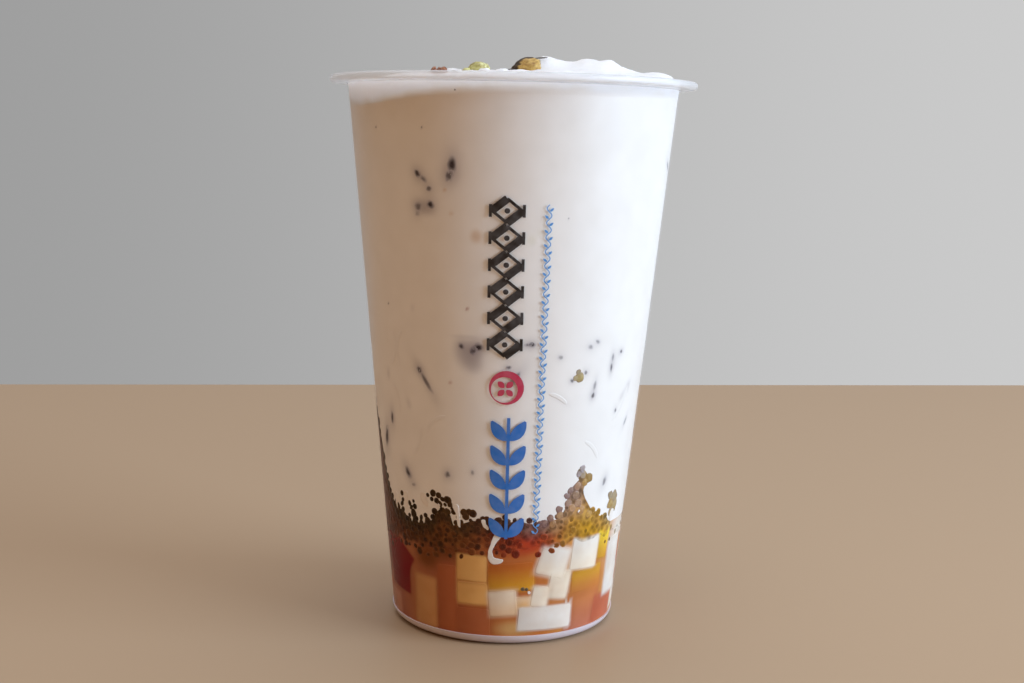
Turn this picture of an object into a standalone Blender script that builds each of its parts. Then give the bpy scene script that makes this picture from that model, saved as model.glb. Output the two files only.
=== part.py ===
"""A falooda in its clear takeaway cup: jelly cubes, swollen basil seeds, a milk body and a cream top.

Metres, +Z up. The origin is the centre of the circle that the cup stands on. An angle round the
cup is measured from the front, which faces -Y, and grows towards +X.
"""

import math
import random

import bmesh
import bpy
from mathutils import Euler, Matrix, Vector, noise

# The cup
CUP_HEIGHT = 0.1425
RIM_RADIUS = 0.0475
RIM_THICKNESS = 0.0019
WALL_TOP = CUP_HEIGHT - RIM_THICKNESS
WALL_TOP_RADIUS = 0.0431
WALL_FOOT = 0.0032
WALL_FOOT_RADIUS = 0.0299
WALL_THICKNESS = 0.0007
FLOOR_TOP = 0.0024
FLOOR_UNDERSIDE = 0.0014
FOOT_WIDTH = 0.0016
FOOT_DRAFT = 0.0008
INNER_FILLET = 0.0018
CUP_SECTORS = 60

# What fills it
GAP = 0.0003
LAYER_SECTORS = 60
JELLY_TOP = 0.0252
JELLY_LEAN = 0.0022
JELLY_LEAN_ANGLE = 55
CUBE_PROUD = 0.0021
CUBE_DEPTH = 0.0078
FRONT_CUBE_TILT = 4
SEED_TOP = 0.0333
SEED_RADIUS = 0.00115
SEED_COUNT = 90
FOAM_LINE = 0.1385
FOAM_DIP = 0.0025
FOAM_DIP_ANGLE, FOAM_DIP_SPREAD = -65, 22
CREAM_EDGE = 0.1417
CREAM_EDGE_LEAN = 0.0007
CREAM_DOME = 0.0012
CREAM_LUMP = 0.0009
CREAM_LUMP_SIZE = 0.005

# Jelly cubes that show at the front: angle, height of the centre, width, height, turn, in degrees and mm
FRONT_CUBES = [
    (-56, 17.0, 9.0, 12.0, 8),
    (-38, 17.2, 8.6, 8.4, -12),
    (-38, 8.6, 8.8, 8.2, 10),
    (-23, 6.9, 8.6, 7.8, -6),
    (-14, 20.6, 8.2, 8.8, 4),
    (-14, 12.6, 8.2, 7.0, -5),
    (-5, 6.6, 8.4, 7.4, 12),
    (-2, 12.3, 7.0, 5.6, -8),
    (10, 18.2, 11.0, 6.6, 6),
    (13, 11.6, 7.2, 7.4, 9),
    (20, 7.3, 15.0, 8.2, 0),
    (26, 19.6, 9.2, 10.6, -14),
    (35, 12.9, 7.4, 7.6, 11),
    (43, 8.0, 8.8, 8.6, -7),
    (44, 22.2, 9.4, 9.6, 5),
    (46, 15.4, 9.0, 6.4, -4),
    (59, 8.2, 8.4, 8.8, 9),
    (60, 18.0, 8.0, 9.4, -9),
]

# The blocks of the sides and back: rows in mm, angles in degrees, ranges of size and lean
BACK_CUBE_ROWS = [7.4, 14.4, 20.6]
BACK_CUBE_FIRST, BACK_CUBE_LAST, BACK_CUBE_STEP = 77, 286, 16.5
BACK_CUBE_WIDTH = (7.0, 9.2)
BACK_CUBE_TALL = (6.6, 8.8)
BACK_CUBE_SHIFT = 0.8
BACK_CUBE_TURN = 14
BACK_CUBE_TILT = 7
BACK_CUBE_SPACING = (0.9, 1.15)

# The seed layer's own waves: height in mm, number round the cup, phase
SEED_WAVES = [(0.9, 3, 1.0), (0.6, 7, 2.0)]

# Where the seeds climb the wall above their layer: angle, spread in degrees, height in mm
SEED_CLUMPS = [
    (-80, 8.0, 24.0),
    (-28, 5.0, 4.2),
    (27, 5.0, 2.0),
    (37.5, 3.6, 13.5),
    (50, 3.0, 4.0),
    (112, 7.0, 7.0),
    (163, 5.0, 11.0),
    (214, 9.0, 5.0),
]

# Soft heaps of the cream: x, y, spread and height in mm
CREAM_HEAPS = [
    (20.0, -2.0, 8.0, 4.6),
    (7.6, -4.5, 3.2, 3.6),
    (-4.5, -6.0, 3.5, 1.3),
    (1.0, 18.0, 7.0, 3.2),
    (-17.0, 12.0, 6.0, 2.6),
    (26.0, 15.0, 6.0, 2.6),
    (-25.0, -7.0, 6.0, 1.5),
    (10.0, -25.0, 6.5, 1.2),
    (-8.0, -24.0, 6.0, 1.0),
]

# Nut pieces lying in the cream: x, y, length, width, thickness in mm, turn in degrees
NUT_PIECES = [
    (3.6, -12.0, 8.4, 5.2, 4.2, -8),
    (-9.5, 8.0, 7.4, 4.8, 3.8, 52),
    (15.0, 19.0, 7.0, 4.6, 3.6, -35),
]

NUT_SHOWN = 0.3
NUT_LEAN = (8, -10)
NUT_ROUGHNESS = 0.22
NUT_GRAIN = 3
NUT_BREAK = 0.36

# Small toppings fused to the cream: x, y, length in mm, turn in degrees
PISTACHIO_BITS = [
    (-10.4, -11.0, 4.7, 10),
    (-21.0, 3.0, 4.2, 70),
    (-3.0, 24.0, 4.6, -30),
    (25.0, 2.0, 3.8, 40),
    (-14.0, 22.0, 4.0, 15),
    (8.0, 9.0, 4.3, -60),
]
CANDIED_BITS = [
    (-18.6, -12.5, 3.0, 20),
    (-21.0, -10.5, 2.6, 55),
    (-27.0, 9.0, 3.0, 30),
    (5.0, 29.0, 2.8, 65),
    (29.0, -8.0, 2.8, 10),
    (20.0, 29.0, 3.0, 40),
]

PISTACHIO_ACROSS, PISTACHIO_TALL = 2.6, 2.4
CANDIED_TALL = 2.6
BIT_SHOWN = 0.22
BIT_ROUGHNESS = 0.25
BIT_GRAIN = 5

# Shares of the way from the axis to the wall
SEED_RINGS = [0, 0.4, 0.62, 0.76, 0.88, 0.97]
CLIMB_FROM = 0.6
CLIMB_CLEARANCE = 0.05
EDGE_ONLY = [0, 1.0]
CREAM_RINGS = [0, 0.1, 0.2, 0.32, 0.44, 0.56, 0.68, 0.79, 0.89, 0.96, 1.0]
CREAM_SHOULDER = 0.35

# How much of a heap's and a lump's height is left at the rim
HEAP_AT_RIM = 0.35
LUMP_AT_RIM = 0.3

# How much wider than the seeds' climbs the hollows are that the milk keeps round them
CLIMB_WIDEN = 1.4

# A seed at the wall stays this many of its radii below the layer's top, over degrees to each side
SEED_COVER = 1.3
SEED_SIDES = (-6, 0, 6)

MM = 0.001
MERGE = 0.00001


def polar(angle, radius, height):
    """The point at an angle from the front, in degrees."""
    turn = math.radians(angle)
    return Vector((radius * math.sin(turn), -radius * math.cos(turn), height))


def angle_of(x, y):
    """The angle from the front of a point, in degrees."""
    return math.degrees(math.atan2(x, -y))


def hump(angle, centre, spread):
    """A smooth hump round one angle, 1 at its centre."""
    away = (angle - centre + 180) % 360 - 180
    return math.exp(-0.5 * (away / spread) ** 2)


def smooth(value):
    """An even step from 0 to 1."""
    value = min(max(value, 0.0), 1.0)
    return value * value * (3 - 2 * value)


def wall_radius(height):
    """The cup's outer radius on the straight part of its wall."""
    slope = (WALL_TOP_RADIUS - WALL_FOOT_RADIUS) / (WALL_TOP - WALL_FOOT)
    return WALL_FOOT_RADIUS + slope * (height - WALL_FOOT)


def filling_radius(height):
    """The radius that the filling reaches, a gap short of the cup's inside."""
    radius = wall_radius(height) - WALL_THICKNESS - GAP
    above_floor = height - FLOOR_TOP - GAP
    if above_floor < INNER_FILLET:
        drop = INNER_FILLET - max(above_floor, 0.0)
        radius -= INNER_FILLET - math.sqrt(INNER_FILLET**2 - drop**2)
    return radius


def jelly_top(angle, reach):
    """Height of the jelly heap, which lies a little higher on the right.

    Here and below, reach is the share of the way from the axis to the wall.
    """
    return JELLY_TOP + JELLY_LEAN * reach * math.cos(math.radians(angle - JELLY_LEAN_ANGLE))


def jelly_cover(angle, reach):
    """The underside of what lies on the jelly."""
    return jelly_top(angle, reach) + GAP


def seed_climb(angle, reach, widen):
    """How far the seeds climb the wall, with the clumps made wider by a factor."""
    climb = sum(height * hump(angle, centre, spread * widen) for centre, spread, height in SEED_CLUMPS)
    return climb * MM * smooth((reach - CLIMB_FROM) / (1 - CLIMB_FROM))


def seed_top(angle, reach):
    """Height of the seed layer."""
    turn = math.radians(angle)
    waves = sum(tall * math.sin(count * turn + phase) for tall, count, phase in SEED_WAVES)
    return SEED_TOP + waves * MM * reach + seed_climb(angle, reach, 1)


def milk_foot(angle, reach):
    """The milk's underside, which keeps a gap to the seeds, also where they rise steeply."""
    inner = min(reach + CLIMB_CLEARANCE, 1)
    wider = seed_climb(angle, inner, CLIMB_WIDEN) - seed_climb(angle, reach, 1)
    return seed_top(angle, reach) + GAP + max(wider, 0)


def foam_line(angle, reach):
    """Where the milk ends and the paler foam starts, lower at the left."""
    return FOAM_LINE - FOAM_DIP * reach * hump(angle, FOAM_DIP_ANGLE, FOAM_DIP_SPREAD)


def foam_foot(angle, reach):
    """The foam's underside."""
    return foam_line(angle, reach) + GAP


def cream_height(x, y):
    """The cream's surface over a point."""
    away = min(math.hypot(x, y) / filling_radius(CREAM_EDGE), 1.0)
    height = CREAM_EDGE + CREAM_EDGE_LEAN * x / WALL_TOP_RADIUS
    height += CREAM_DOME * (1 - away**2)
    inward = smooth((1 - away) / CREAM_SHOULDER)
    for heap_x, heap_y, spread, tall in CREAM_HEAPS:
        far = ((x / MM - heap_x) ** 2 + (y / MM - heap_y) ** 2) / (2 * spread**2)
        height += tall * MM * math.exp(-far) * (HEAP_AT_RIM + (1 - HEAP_AT_RIM) * inward)
    lump = noise.noise(Vector((x, y, 0)) / CREAM_LUMP_SIZE)
    return height + CREAM_LUMP * lump * (LUMP_AT_RIM + (1 - LUMP_AT_RIM) * inward)


def material(name, colour, roughness, alpha=1.0):
    """A Principled material with a name and a colour."""
    made = bpy.data.materials.new(name)
    made.use_nodes = True
    shader = made.node_tree.nodes["Principled BSDF"]
    shader.inputs["Base Color"].default_value = (*colour, 1)
    shader.inputs["Roughness"].default_value = roughness
    shader.inputs["Metallic"].default_value = 0.0
    shader.inputs["Alpha"].default_value = alpha
    return made


def placed(name, mesh, collection):
    """A new object in a collection."""
    made = bpy.data.objects.new(name, mesh)
    collection.objects.link(made)
    return made


def turned(name, profile, sectors, collection):
    """A profile turned about the Z axis."""
    mesh = bpy.data.meshes.new(name)
    edges = [(i, i + 1) for i in range(len(profile) - 1)]
    mesh.from_pydata([(radius, 0, height) for radius, height in profile], edges, [])
    made = placed(name, mesh, collection)
    screw = made.modifiers.new("turn", "SCREW")
    screw.steps = screw.render_steps = sectors
    screw.use_merge_vertices = True
    screw.merge_threshold = MERGE
    screw.use_normal_calculate = False
    return made


def applied(made):
    """The object with its modifiers made part of its mesh."""
    graph = bpy.context.evaluated_depsgraph_get()
    mesh = bpy.data.meshes.new_from_object(made.evaluated_get(graph))
    mesh.name = made.name
    made.modifiers.clear()
    made.data = mesh
    return made


def finish(made, surface):
    """Gives a piece its material and smooth shading with sharp edges."""
    made.data.materials.clear()
    made.data.materials.append(surface)
    made.data.shade_smooth()
    made.data.set_sharp_from_angle(angle=math.radians(35))
    return made


def arc(centre, radius, first, last, steps):
    """Points on an arc of a profile, in degrees from straight out."""
    angles = [math.radians(first + (last - first) * i / steps) for i in range(steps + 1)]
    return [(centre[0] + radius * math.cos(a), centre[1] + radius * math.sin(a)) for a in angles]


def cup(collection):
    """The thin tapered cup, with its flat rim and a foot ring round a raised floor."""
    half = RIM_THICKNESS / 2
    inner_foot = WALL_FOOT_RADIUS - WALL_THICKNESS
    middle = WALL_TOP / 2
    profile = [(0, FLOOR_TOP)]
    profile += arc((inner_foot - INNER_FILLET, FLOOR_TOP + INNER_FILLET), INNER_FILLET, -90, 0, 2)
    profile.append((wall_radius(middle) - WALL_THICKNESS, middle))
    profile.append((wall_radius(CUP_HEIGHT) - WALL_THICKNESS, CUP_HEIGHT))
    profile += arc((RIM_RADIUS - half, CUP_HEIGHT - half), half, 90, -90, 4)
    profile.append((wall_radius(WALL_TOP), WALL_TOP))
    profile.append((wall_radius(middle), middle))
    profile += arc((WALL_FOOT_RADIUS - WALL_FOOT, WALL_FOOT), WALL_FOOT, 0, -90, 3)
    foot_inside = WALL_FOOT_RADIUS - WALL_FOOT - FOOT_WIDTH
    profile.append((foot_inside, 0))
    profile.append((foot_inside - FOOT_DRAFT, FLOOR_UNDERSIDE))
    profile.append((0, FLOOR_UNDERSIDE))
    made = turned("cup", profile, CUP_SECTORS, collection)
    return finish(made, material("clear_plastic", (0.86, 0.85, 0.9), 0.2, 0.35))


def layer(name, foot, top, foot_rings, top_rings, sides, collection):
    """A layer of the filling between two uneven surfaces, each with its own rings of points.

    It starts as a turned disc of unit size. Each point then moves to its share of the way from the
    axis to the wall, and of the way from the lower surface up to the upper one.
    """
    profile = [(reach, 1.0) for reach in top_rings]
    profile += [(top_rings[-1], 1.0 - (i + 1) / sides) for i in range(sides - 1)]
    profile += [(reach, 0.0) for reach in reversed(foot_rings)]
    made = applied(turned(name, profile, LAYER_SECTORS, collection))
    for vertex in made.data.vertices:
        reach = math.hypot(vertex.co.x, vertex.co.y)
        angle = angle_of(vertex.co.x, vertex.co.y)
        low, high = foot(angle, reach), top(angle, reach)
        height = low + (high - low) * vertex.co.z
        vertex.co = polar(angle, reach * filling_radius(height), height)
    return made


def fuse(base, pieces):
    """Joins pieces to a base as one closed body, with sealed hollows filled and scraps dropped."""
    group = bpy.data.collections.new(base.name + "_pieces")
    bpy.context.scene.collection.children.link(group)
    for piece in pieces:
        group.objects.link(piece)
    union = base.modifiers.new("union", "BOOLEAN")
    union.operation = "UNION"
    union.operand_type = "COLLECTION"
    union.collection = group
    union.solver = "MANIFOLD"
    applied(base)
    for piece in pieces:
        bpy.data.objects.remove(piece)
    bpy.data.collections.remove(group)
    keep_largest_shell(base.data)
    return base


def keep_largest_shell(mesh):
    """Deletes all but the widest connected shell of a mesh."""
    cage = bmesh.new()
    cage.from_mesh(mesh)
    unseen = set(cage.verts)
    shells = []
    while unseen:
        shell, edge = set(), [unseen.pop()]
        while edge:
            vertex = edge.pop()
            shell.add(vertex)
            near = [e.other_vert(vertex) for e in vertex.link_edges]
            fresh = [other for other in near if other in unseen]
            unseen.difference_update(fresh)
            edge.extend(fresh)
        shells.append(shell)
    widest = max(shells, key=lambda shell: max(v.co.x for v in shell) - min(v.co.x for v in shell))
    for shell in shells:
        if shell is not widest:
            bmesh.ops.delete(cage, geom=list(shell), context="VERTS")
    cage.to_mesh(mesh)
    cage.free()


def loose_mesh(name, make):
    """A mesh made by one bmesh primitive."""
    cage = bmesh.new()
    make(cage)
    mesh = bpy.data.meshes.new(name)
    cage.to_mesh(mesh)
    cage.free()
    return bpy.data.objects.new(name, mesh)


def jelly_cube(angle, height, width, tall, turn, tilt):
    """A block of jelly pushed out until its farthest corner touches the cup's inside."""
    block = loose_mesh("block", lambda cage: bmesh.ops.create_cube(cage, size=1))
    spin = Euler((math.radians(tilt), math.radians(tilt), math.radians(angle + turn))).to_matrix()
    size = Vector((width * MM, CUBE_DEPTH, tall * MM))
    corners = [spin @ (vertex.co * size) for vertex in block.data.vertices]
    out = polar(angle, 1.0, 0)
    reach = filling_radius(JELLY_TOP)
    ceilings = []
    for corner in corners:
        spot = out * (reach - CUBE_DEPTH / 2) + corner
        share = min(math.hypot(spot.x, spot.y) / reach, 1.0)
        ceilings.append(jelly_top(angle_of(spot.x, spot.y), share) - corner.z)
    floor = FLOOR_TOP + GAP - min(corner.z for corner in corners)
    centre = Vector((0, 0, max(min(height * MM, *ceilings), floor)))

    def room(distance):
        places = [centre + out * distance + corner for corner in corners]
        return min(filling_radius(p.z) - math.hypot(p.x, p.y) for p in places)

    near, far = 0.0, reach
    for _ in range(20):
        middle = (near + far) / 2
        near, far = (middle, far) if room(middle) > 0 else (near, middle)
    for vertex, corner in zip(block.data.vertices, corners):
        vertex.co = centre + out * near + corner
    return block


def jelly_cubes(collection):
    """The heap of jelly at the bottom: a core and the blocks that show at the wall."""
    draw = random.Random(11)
    rings = [0, 1 - CUBE_PROUD / filling_radius(JELLY_TOP)]

    def foot(angle, reach):
        return FLOOR_TOP + GAP

    heap = layer("jelly_cubes", foot, jelly_top, rings, rings, 3, collection)
    blocks = [jelly_cube(*row, draw.uniform(-FRONT_CUBE_TILT, FRONT_CUBE_TILT)) for row in FRONT_CUBES]
    for row, row_height in enumerate(BACK_CUBE_ROWS):
        angle = BACK_CUBE_FIRST + BACK_CUBE_STEP / 2 * (row % 2)
        while angle < BACK_CUBE_LAST:
            width, tall = draw.uniform(*BACK_CUBE_WIDTH), draw.uniform(*BACK_CUBE_TALL)
            turn = draw.uniform(-BACK_CUBE_TURN, BACK_CUBE_TURN)
            tilt = draw.uniform(-BACK_CUBE_TILT, BACK_CUBE_TILT)
            height = row_height + draw.uniform(-BACK_CUBE_SHIFT, BACK_CUBE_SHIFT)
            blocks.append(jelly_cube(angle, height, width, tall, turn, tilt))
            angle += BACK_CUBE_STEP * draw.uniform(*BACK_CUBE_SPACING)
    fuse(heap, blocks)
    return finish(heap, material("jelly", (0.8, 0.42, 0.16), 0.2))


def seed_bump(angle, height):
    """One swollen seed that rests against the cup's inside."""
    seed = loose_mesh("seed", lambda cage: bmesh.ops.create_icosphere(cage, subdivisions=1, radius=SEED_RADIUS))
    centre = polar(angle, filling_radius(height) - SEED_RADIUS, height)
    seed.data.transform(Matrix.Translation(centre) @ Matrix.Rotation(math.radians(angle * 7), 4, "X"))
    return seed


def basil_seeds(collection):
    """The layer of swollen seeds, with seeds standing proud at the wall."""
    draw = random.Random(5)
    foot_rings = [0, SEED_RINGS[-1]]
    bed = layer("basil_seeds", jelly_cover, seed_top, foot_rings, SEED_RINGS, 3, collection)
    seeds = []
    golden = 360 * (math.sqrt(5) - 1) / 2
    for i in range(SEED_COUNT):
        angle = (i * golden) % 360
        low = jelly_cover(angle, 1) + SEED_RADIUS
        high = min(seed_top(angle + side, 1) for side in SEED_SIDES) - SEED_COVER * SEED_RADIUS
        seeds.append(seed_bump(angle, low + (high - low) * draw.random()))
    fuse(bed, seeds)
    return finish(bed, material("basil_seed", (0.05, 0.035, 0.02), 0.35))


def milkshake(collection):
    """The milk between the seeds and the foam."""
    made = layer("milkshake", milk_foot, foam_line, [*SEED_RINGS, 1.0], EDGE_ONLY, 4, collection)
    return finish(made, material("milk", (0.86, 0.82, 0.74), 0.45))


def topping_bit(name, x, y, size, turn):
    """A small lump half sunk in the cream, its size given along, across and up."""
    bit = loose_mesh(name, lambda cage: bmesh.ops.create_icosphere(cage, subdivisions=1, radius=0.5))
    for vertex in bit.data.vertices:
        vertex.co *= 1 + BIT_ROUGHNESS * noise.noise(vertex.co * BIT_GRAIN + Vector((x, y, 0)))
    centre = Vector((x * MM, y * MM, cream_height(x * MM, y * MM) + size[2] * MM * BIT_SHOWN))
    shape = Matrix.Diagonal((*(value * MM for value in size), 1))
    bit.data.transform(Matrix.Translation(centre) @ Matrix.Rotation(math.radians(turn), 4, "Z") @ shape)
    return bit


def nut_mesh(name, row, grow):
    """A broken piece of nut with one flat side, grown on all sides by a distance."""
    x, y, long, wide, thick, turn = row
    nut = loose_mesh(name, lambda cage: bmesh.ops.create_icosphere(cage, subdivisions=2, radius=0.5))
    for vertex in nut.data.vertices:
        vertex.co *= 1 + NUT_ROUGHNESS * noise.noise(vertex.co * NUT_GRAIN + Vector((x, y, 0)))
        vertex.co.x = min(vertex.co.x, NUT_BREAK)
    shape = Matrix.Diagonal((*((value * MM + 2 * grow) for value in (long, wide, thick)), 1))
    height = cream_height(x * MM, y * MM) + thick * MM * NUT_SHOWN
    place = Matrix.Translation((x * MM, y * MM, height))
    lean = Euler([math.radians(value) for value in (*NUT_LEAN, turn)]).to_matrix().to_4x4()
    nut.data.transform(place @ lean @ shape)
    return nut


def cream_top(collection, cutters):
    """The foam and the lumpy cream, with small toppings fused on and beds for the nut pieces."""

    def surface(angle, reach):
        spot = polar(angle, reach * filling_radius(CREAM_EDGE), 0)
        return cream_height(spot.x, spot.y)

    made = layer("cream_top", foam_foot, surface, EDGE_ONLY, CREAM_RINGS, 2, collection)
    bits = []
    for x, y, long, turn in PISTACHIO_BITS:
        bits.append(topping_bit("pistachio", x, y, (long, PISTACHIO_ACROSS, PISTACHIO_TALL), turn))
    for x, y, long, turn in CANDIED_BITS:
        bits.append(topping_bit("candied", x, y, (long, long, CANDIED_TALL), turn))
    fuse(made, bits)
    for number, row in enumerate(NUT_PIECES, 1):
        cutter = nut_mesh(f"nut_bed_{number}", row, GAP)
        cutters.objects.link(cutter)
        cutter.hide_render = True
        cutter.display_type = "WIRE"
        bed = made.modifiers.new(f"bed_{number}", "BOOLEAN")
        bed.operation = "DIFFERENCE"
        bed.object = cutter
    return finish(made, material("cream", (0.93, 0.92, 0.9), 0.5))


def nut_pieces(collection):
    """The larger pieces of nut, each lying in its bed."""
    kernel = material("nut_kernel", (0.62, 0.4, 0.17), 0.5)
    for number, row in enumerate(NUT_PIECES, 1):
        nut = nut_mesh(f"nut_piece_{number}", row, 0)
        collection.objects.link(nut)
        finish(nut, kernel)


def main():
    for made in list(bpy.data.objects):
        bpy.data.objects.remove(made)
    scene = bpy.context.scene
    parts = bpy.data.collections.new("falooda")
    cutters = bpy.data.collections.new("cutters")
    scene.collection.children.link(parts)
    scene.collection.children.link(cutters)
    cup(parts)
    jelly_cubes(parts)
    basil_seeds(parts)
    milkshake(parts)
    cream_top(parts, cutters)
    nut_pieces(parts)


main()
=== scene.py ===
"""The looks of a falooda in its clear takeaway cup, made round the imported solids.

Metres, +Z up. An angle round the cup is measured in degrees from the front, which faces -Y, and it
grows towards +X. The lists give lengths in millimetres, and turns clockwise as seen from outside.
"""

import math
import random

import bmesh
import bpy
import numpy as np
from mathutils import Matrix, Vector, noise


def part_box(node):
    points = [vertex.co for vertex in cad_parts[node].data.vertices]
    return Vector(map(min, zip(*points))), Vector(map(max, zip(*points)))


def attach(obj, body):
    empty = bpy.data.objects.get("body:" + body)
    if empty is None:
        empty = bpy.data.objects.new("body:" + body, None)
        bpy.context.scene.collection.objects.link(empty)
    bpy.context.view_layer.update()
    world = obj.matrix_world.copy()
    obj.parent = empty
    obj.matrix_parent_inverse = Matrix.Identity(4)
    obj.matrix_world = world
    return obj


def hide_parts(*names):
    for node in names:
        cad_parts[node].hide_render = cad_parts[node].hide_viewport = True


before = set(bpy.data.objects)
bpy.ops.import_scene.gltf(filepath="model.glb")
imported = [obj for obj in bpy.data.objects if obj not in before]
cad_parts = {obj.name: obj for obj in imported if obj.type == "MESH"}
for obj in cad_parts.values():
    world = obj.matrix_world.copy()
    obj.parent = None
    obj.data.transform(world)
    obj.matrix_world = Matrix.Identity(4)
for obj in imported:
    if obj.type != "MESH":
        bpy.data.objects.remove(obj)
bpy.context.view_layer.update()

MM = 0.001
BODY = "root"

# The cup, as its solid has it
CUP_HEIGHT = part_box("cup")[1].z
RIM_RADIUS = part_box("cup")[1].x
RIM_THICKNESS = 0.0019
WALL_TOP = CUP_HEIGHT - RIM_THICKNESS
WALL_TOP_RADIUS = 0.0431
WALL_FOOT = 0.0032
WALL_FOOT_RADIUS = 0.0299
WALL_THICKNESS = 0.0007
FLOOR_TOP = 0.0024
FLOOR_UNDERSIDE = 0.0014
FOOT_WIDTH = 0.0016
FOOT_DRAFT = 0.0008
BASE_TOP = 0.00262
INNER_FILLET = 0.0018
INNER_LOW = 0.0062
RIM_WEB, RIM_WEB_END, RIM_FILLET = 0.0009, 0.0016, 0.0005
PROFILE_START = 0.004
EDGE = 0.0002
CUP_SECTORS, WALL_ROWS = 192, 40
SHARP_EDGE = 50

# The filling ends this far inside the wall's outer face, so it reaches just into the wall
FILL_DEPTH = 0.0004

# What fills it, as the solids have it
JELLY_TOP = 0.0252
JELLY_LEAN = 0.0022
JELLY_LEAN_ANGLE = 55
SEED_TOP = 0.0333
SEED_WAVES = [(0.9, 3, 1.0), (0.6, 7, 2.0)]
SEED_CLUMPS = [
    (-80, 8, 24), (-28, 5, 4.2), (27, 5, 2), (37.5, 3.6, 13.5), (50, 3, 4), (112, 7, 7), (163, 5, 11),
    (214, 9, 5),
]
FOAM_LINE = 0.1385
CREAM_EDGE = 0.1417
CREAM_EDGE_LEAN = 0.0007
CREAM_DOME = 0.0012
CREAM_LUMP = 0.0009
CREAM_LUMP_SIZE = 0.005
CREAM_SHOULDER = 0.35
HEAP_AT_RIM = 0.35
LUMP_AT_RIM = 0.3
CREAM_HEAPS = [
    (20, -2, 8, 4.6), (7.6, -4.5, 3.2, 3.6), (-4.5, -6, 3.5, 1.3), (1, 18, 7, 3.2), (-17, 12, 6, 2.6),
    (26, 15, 6, 2.6), (-25, -7, 6, 1.5), (10, -25, 6.5, 1.2), (-8, -24, 6, 1),
]

# The foam's lower edge dips further at the left than in the solid
FOAM_DIP = 0.0042
FOAM_DIP_ANGLE, FOAM_DIP_SPREAD = -65, 22

# Swells of the cream that the solid leaves out: x, y, spread and height
CREAM_SWELLS = [
    (7, -7.4, 1.8, 0.8), (9.6, -7.4, 1.8, 0.9), (24, -5, 1.9, 1.4), (33.6, -8, 3.4, 1.2),
    (38, -10, 3, 1.4), (-2.8, -13.6, 1.5, 0.7), (-8.2, -13, 1.2, 0.9),
]

# The cream's finer lumps: height, size and shift of each layer of noise; its pits; its even edges
CREAM_LUMPS = [(0.00026, 0.0032, 0.0), (0.00012, 0.0014, 3.0)]
PIT_DEPTH, PIT_SIZE, PIT_SHIFT, PIT_START, PIT_BLEND = 0.00030, 0.0016, 8.0, 0.42, 0.3
SWELL_EDGE, LUMP_EDGE = 0.05, 0.06

# Toppings: x, y, length, with width and thickness where each has its own, and turn
NUT_PIECES = [(3.6, -12, 8.4, 5.2, 4.2, -8), (-9.5, 8, 7.4, 4.8, 3.8, 52), (15, 19, 7, 4.6, 3.6, -35)]
NUT_TONES = [
    ((0.70, 0.47, 0.14), (0.075, 0.048, 0.022)),
    ((0.76, 0.74, 0.34), (0.52, 0.48, 0.16)),
    ((0.66, 0.42, 0.13), (0.075, 0.045, 0.025)),
]
NUT_PATCH_TONE = (0.52, 0.42, 0.35)
NUT_SHOWN = 0.3
NUT_LIFT = (0.9, 0, 0)
NUT_LEAN = (8, -10)
NUT_ROUGHNESS = 0.22
NUT_GRAIN = 3
NUT_BREAK = 0.36
PISTACHIO_BITS = [
    (-11.9, -11.8, 2.5, 10), (-21, 3, 4.2, 70), (-3, 24, 4.6, -30), (-14, 22, 4, 15), (8, 9, 4.3, -60),
]
CANDIED_BITS = [
    (-20, -12.3, 1.7, 20), (-18.7, -11.8, 1.5, 55), (-17.6, -12.6, 1.8, 5), (-27, 9, 3, 30),
    (5, 29, 2.8, 65), (20, 29, 3, 40),
]
CURDS = [(-7.4, -12.4, 4, 5.2, 3, 20), (-2.8, -13, 4.6, 5.6, 2, -15), (-14.8, -12, 3.2, 4.4, 1.2, 12)]
CURD_SHOWN = 0.1
CRUMB_SEED, CRUMBS = 21, 46
CRUMB_SIDE, CRUMB_REACH, CRUMB_SIZE = (110, 250), (0.012, 0.036), (0.2, 0.5)
CRUMB_TONES = [(0.55, 0.36, 0.14), (0.42, 0.42, 0.12), (0.60, 0.45, 0.25), (0.24, 0.12, 0.06)]
# Flakes of nut skin: x, y, height, length, and slope downwards to the right
SKIN_FLAKES = [(0.2, -13.2, 144.7, 3.4, -10), (6.8, -7.8, 147.75, 3.4, -4)]
FLAKE_HALF_WIDE, FLAKE_HALF_THICK, FLAKE_COLOUR = 0.6, 0.16, (0.07, 0.045, 0.03)
# The pistachio's shaded and lit tones, for painted light on its top and one end
PISTACHIO_SHADED_AND_LIT = ((0.60, 0.46, 0.10), (0.72, 0.71, 0.30))
CANDIED_TONES = ((0.22, 0.075, 0.045), (0.52, 0.25, 0.14))
PISTACHIO_ACROSS, PISTACHIO_TALL = 2.6, 2.4
CANDIED_TALL = 2.6
BIT_SHOWN = 0.22
BIT_ROUGHNESS = 0.25
BIT_GRAIN = 5

# Linear colours of the jelly
FLAVOURS = {
    "white": (0.82, 0.76, 0.66),
    "cream": (0.90, 0.79, 0.61),
    "honey": (0.82, 0.46, 0.145),
    "caramel": (0.62, 0.31, 0.115),
    "rust": (0.45, 0.130, 0.045),
    "amber": (0.50, 0.128, 0.019),
    "golden": (0.68, 0.33, 0.024),
    "yellow": (0.62, 0.31, 0.024),
    "lemon": (0.92, 0.66, 0.045),
    "orange": (0.57, 0.20, 0.044),
    "coral": (0.52, 0.17, 0.094),
    "peach": (0.84, 0.60, 0.36),
    "pink": (0.54, 0.128, 0.058),
    "rose": (0.47, 0.21, 0.125),
    "ruby": (0.190, 0.003, 0.006),
}

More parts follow.
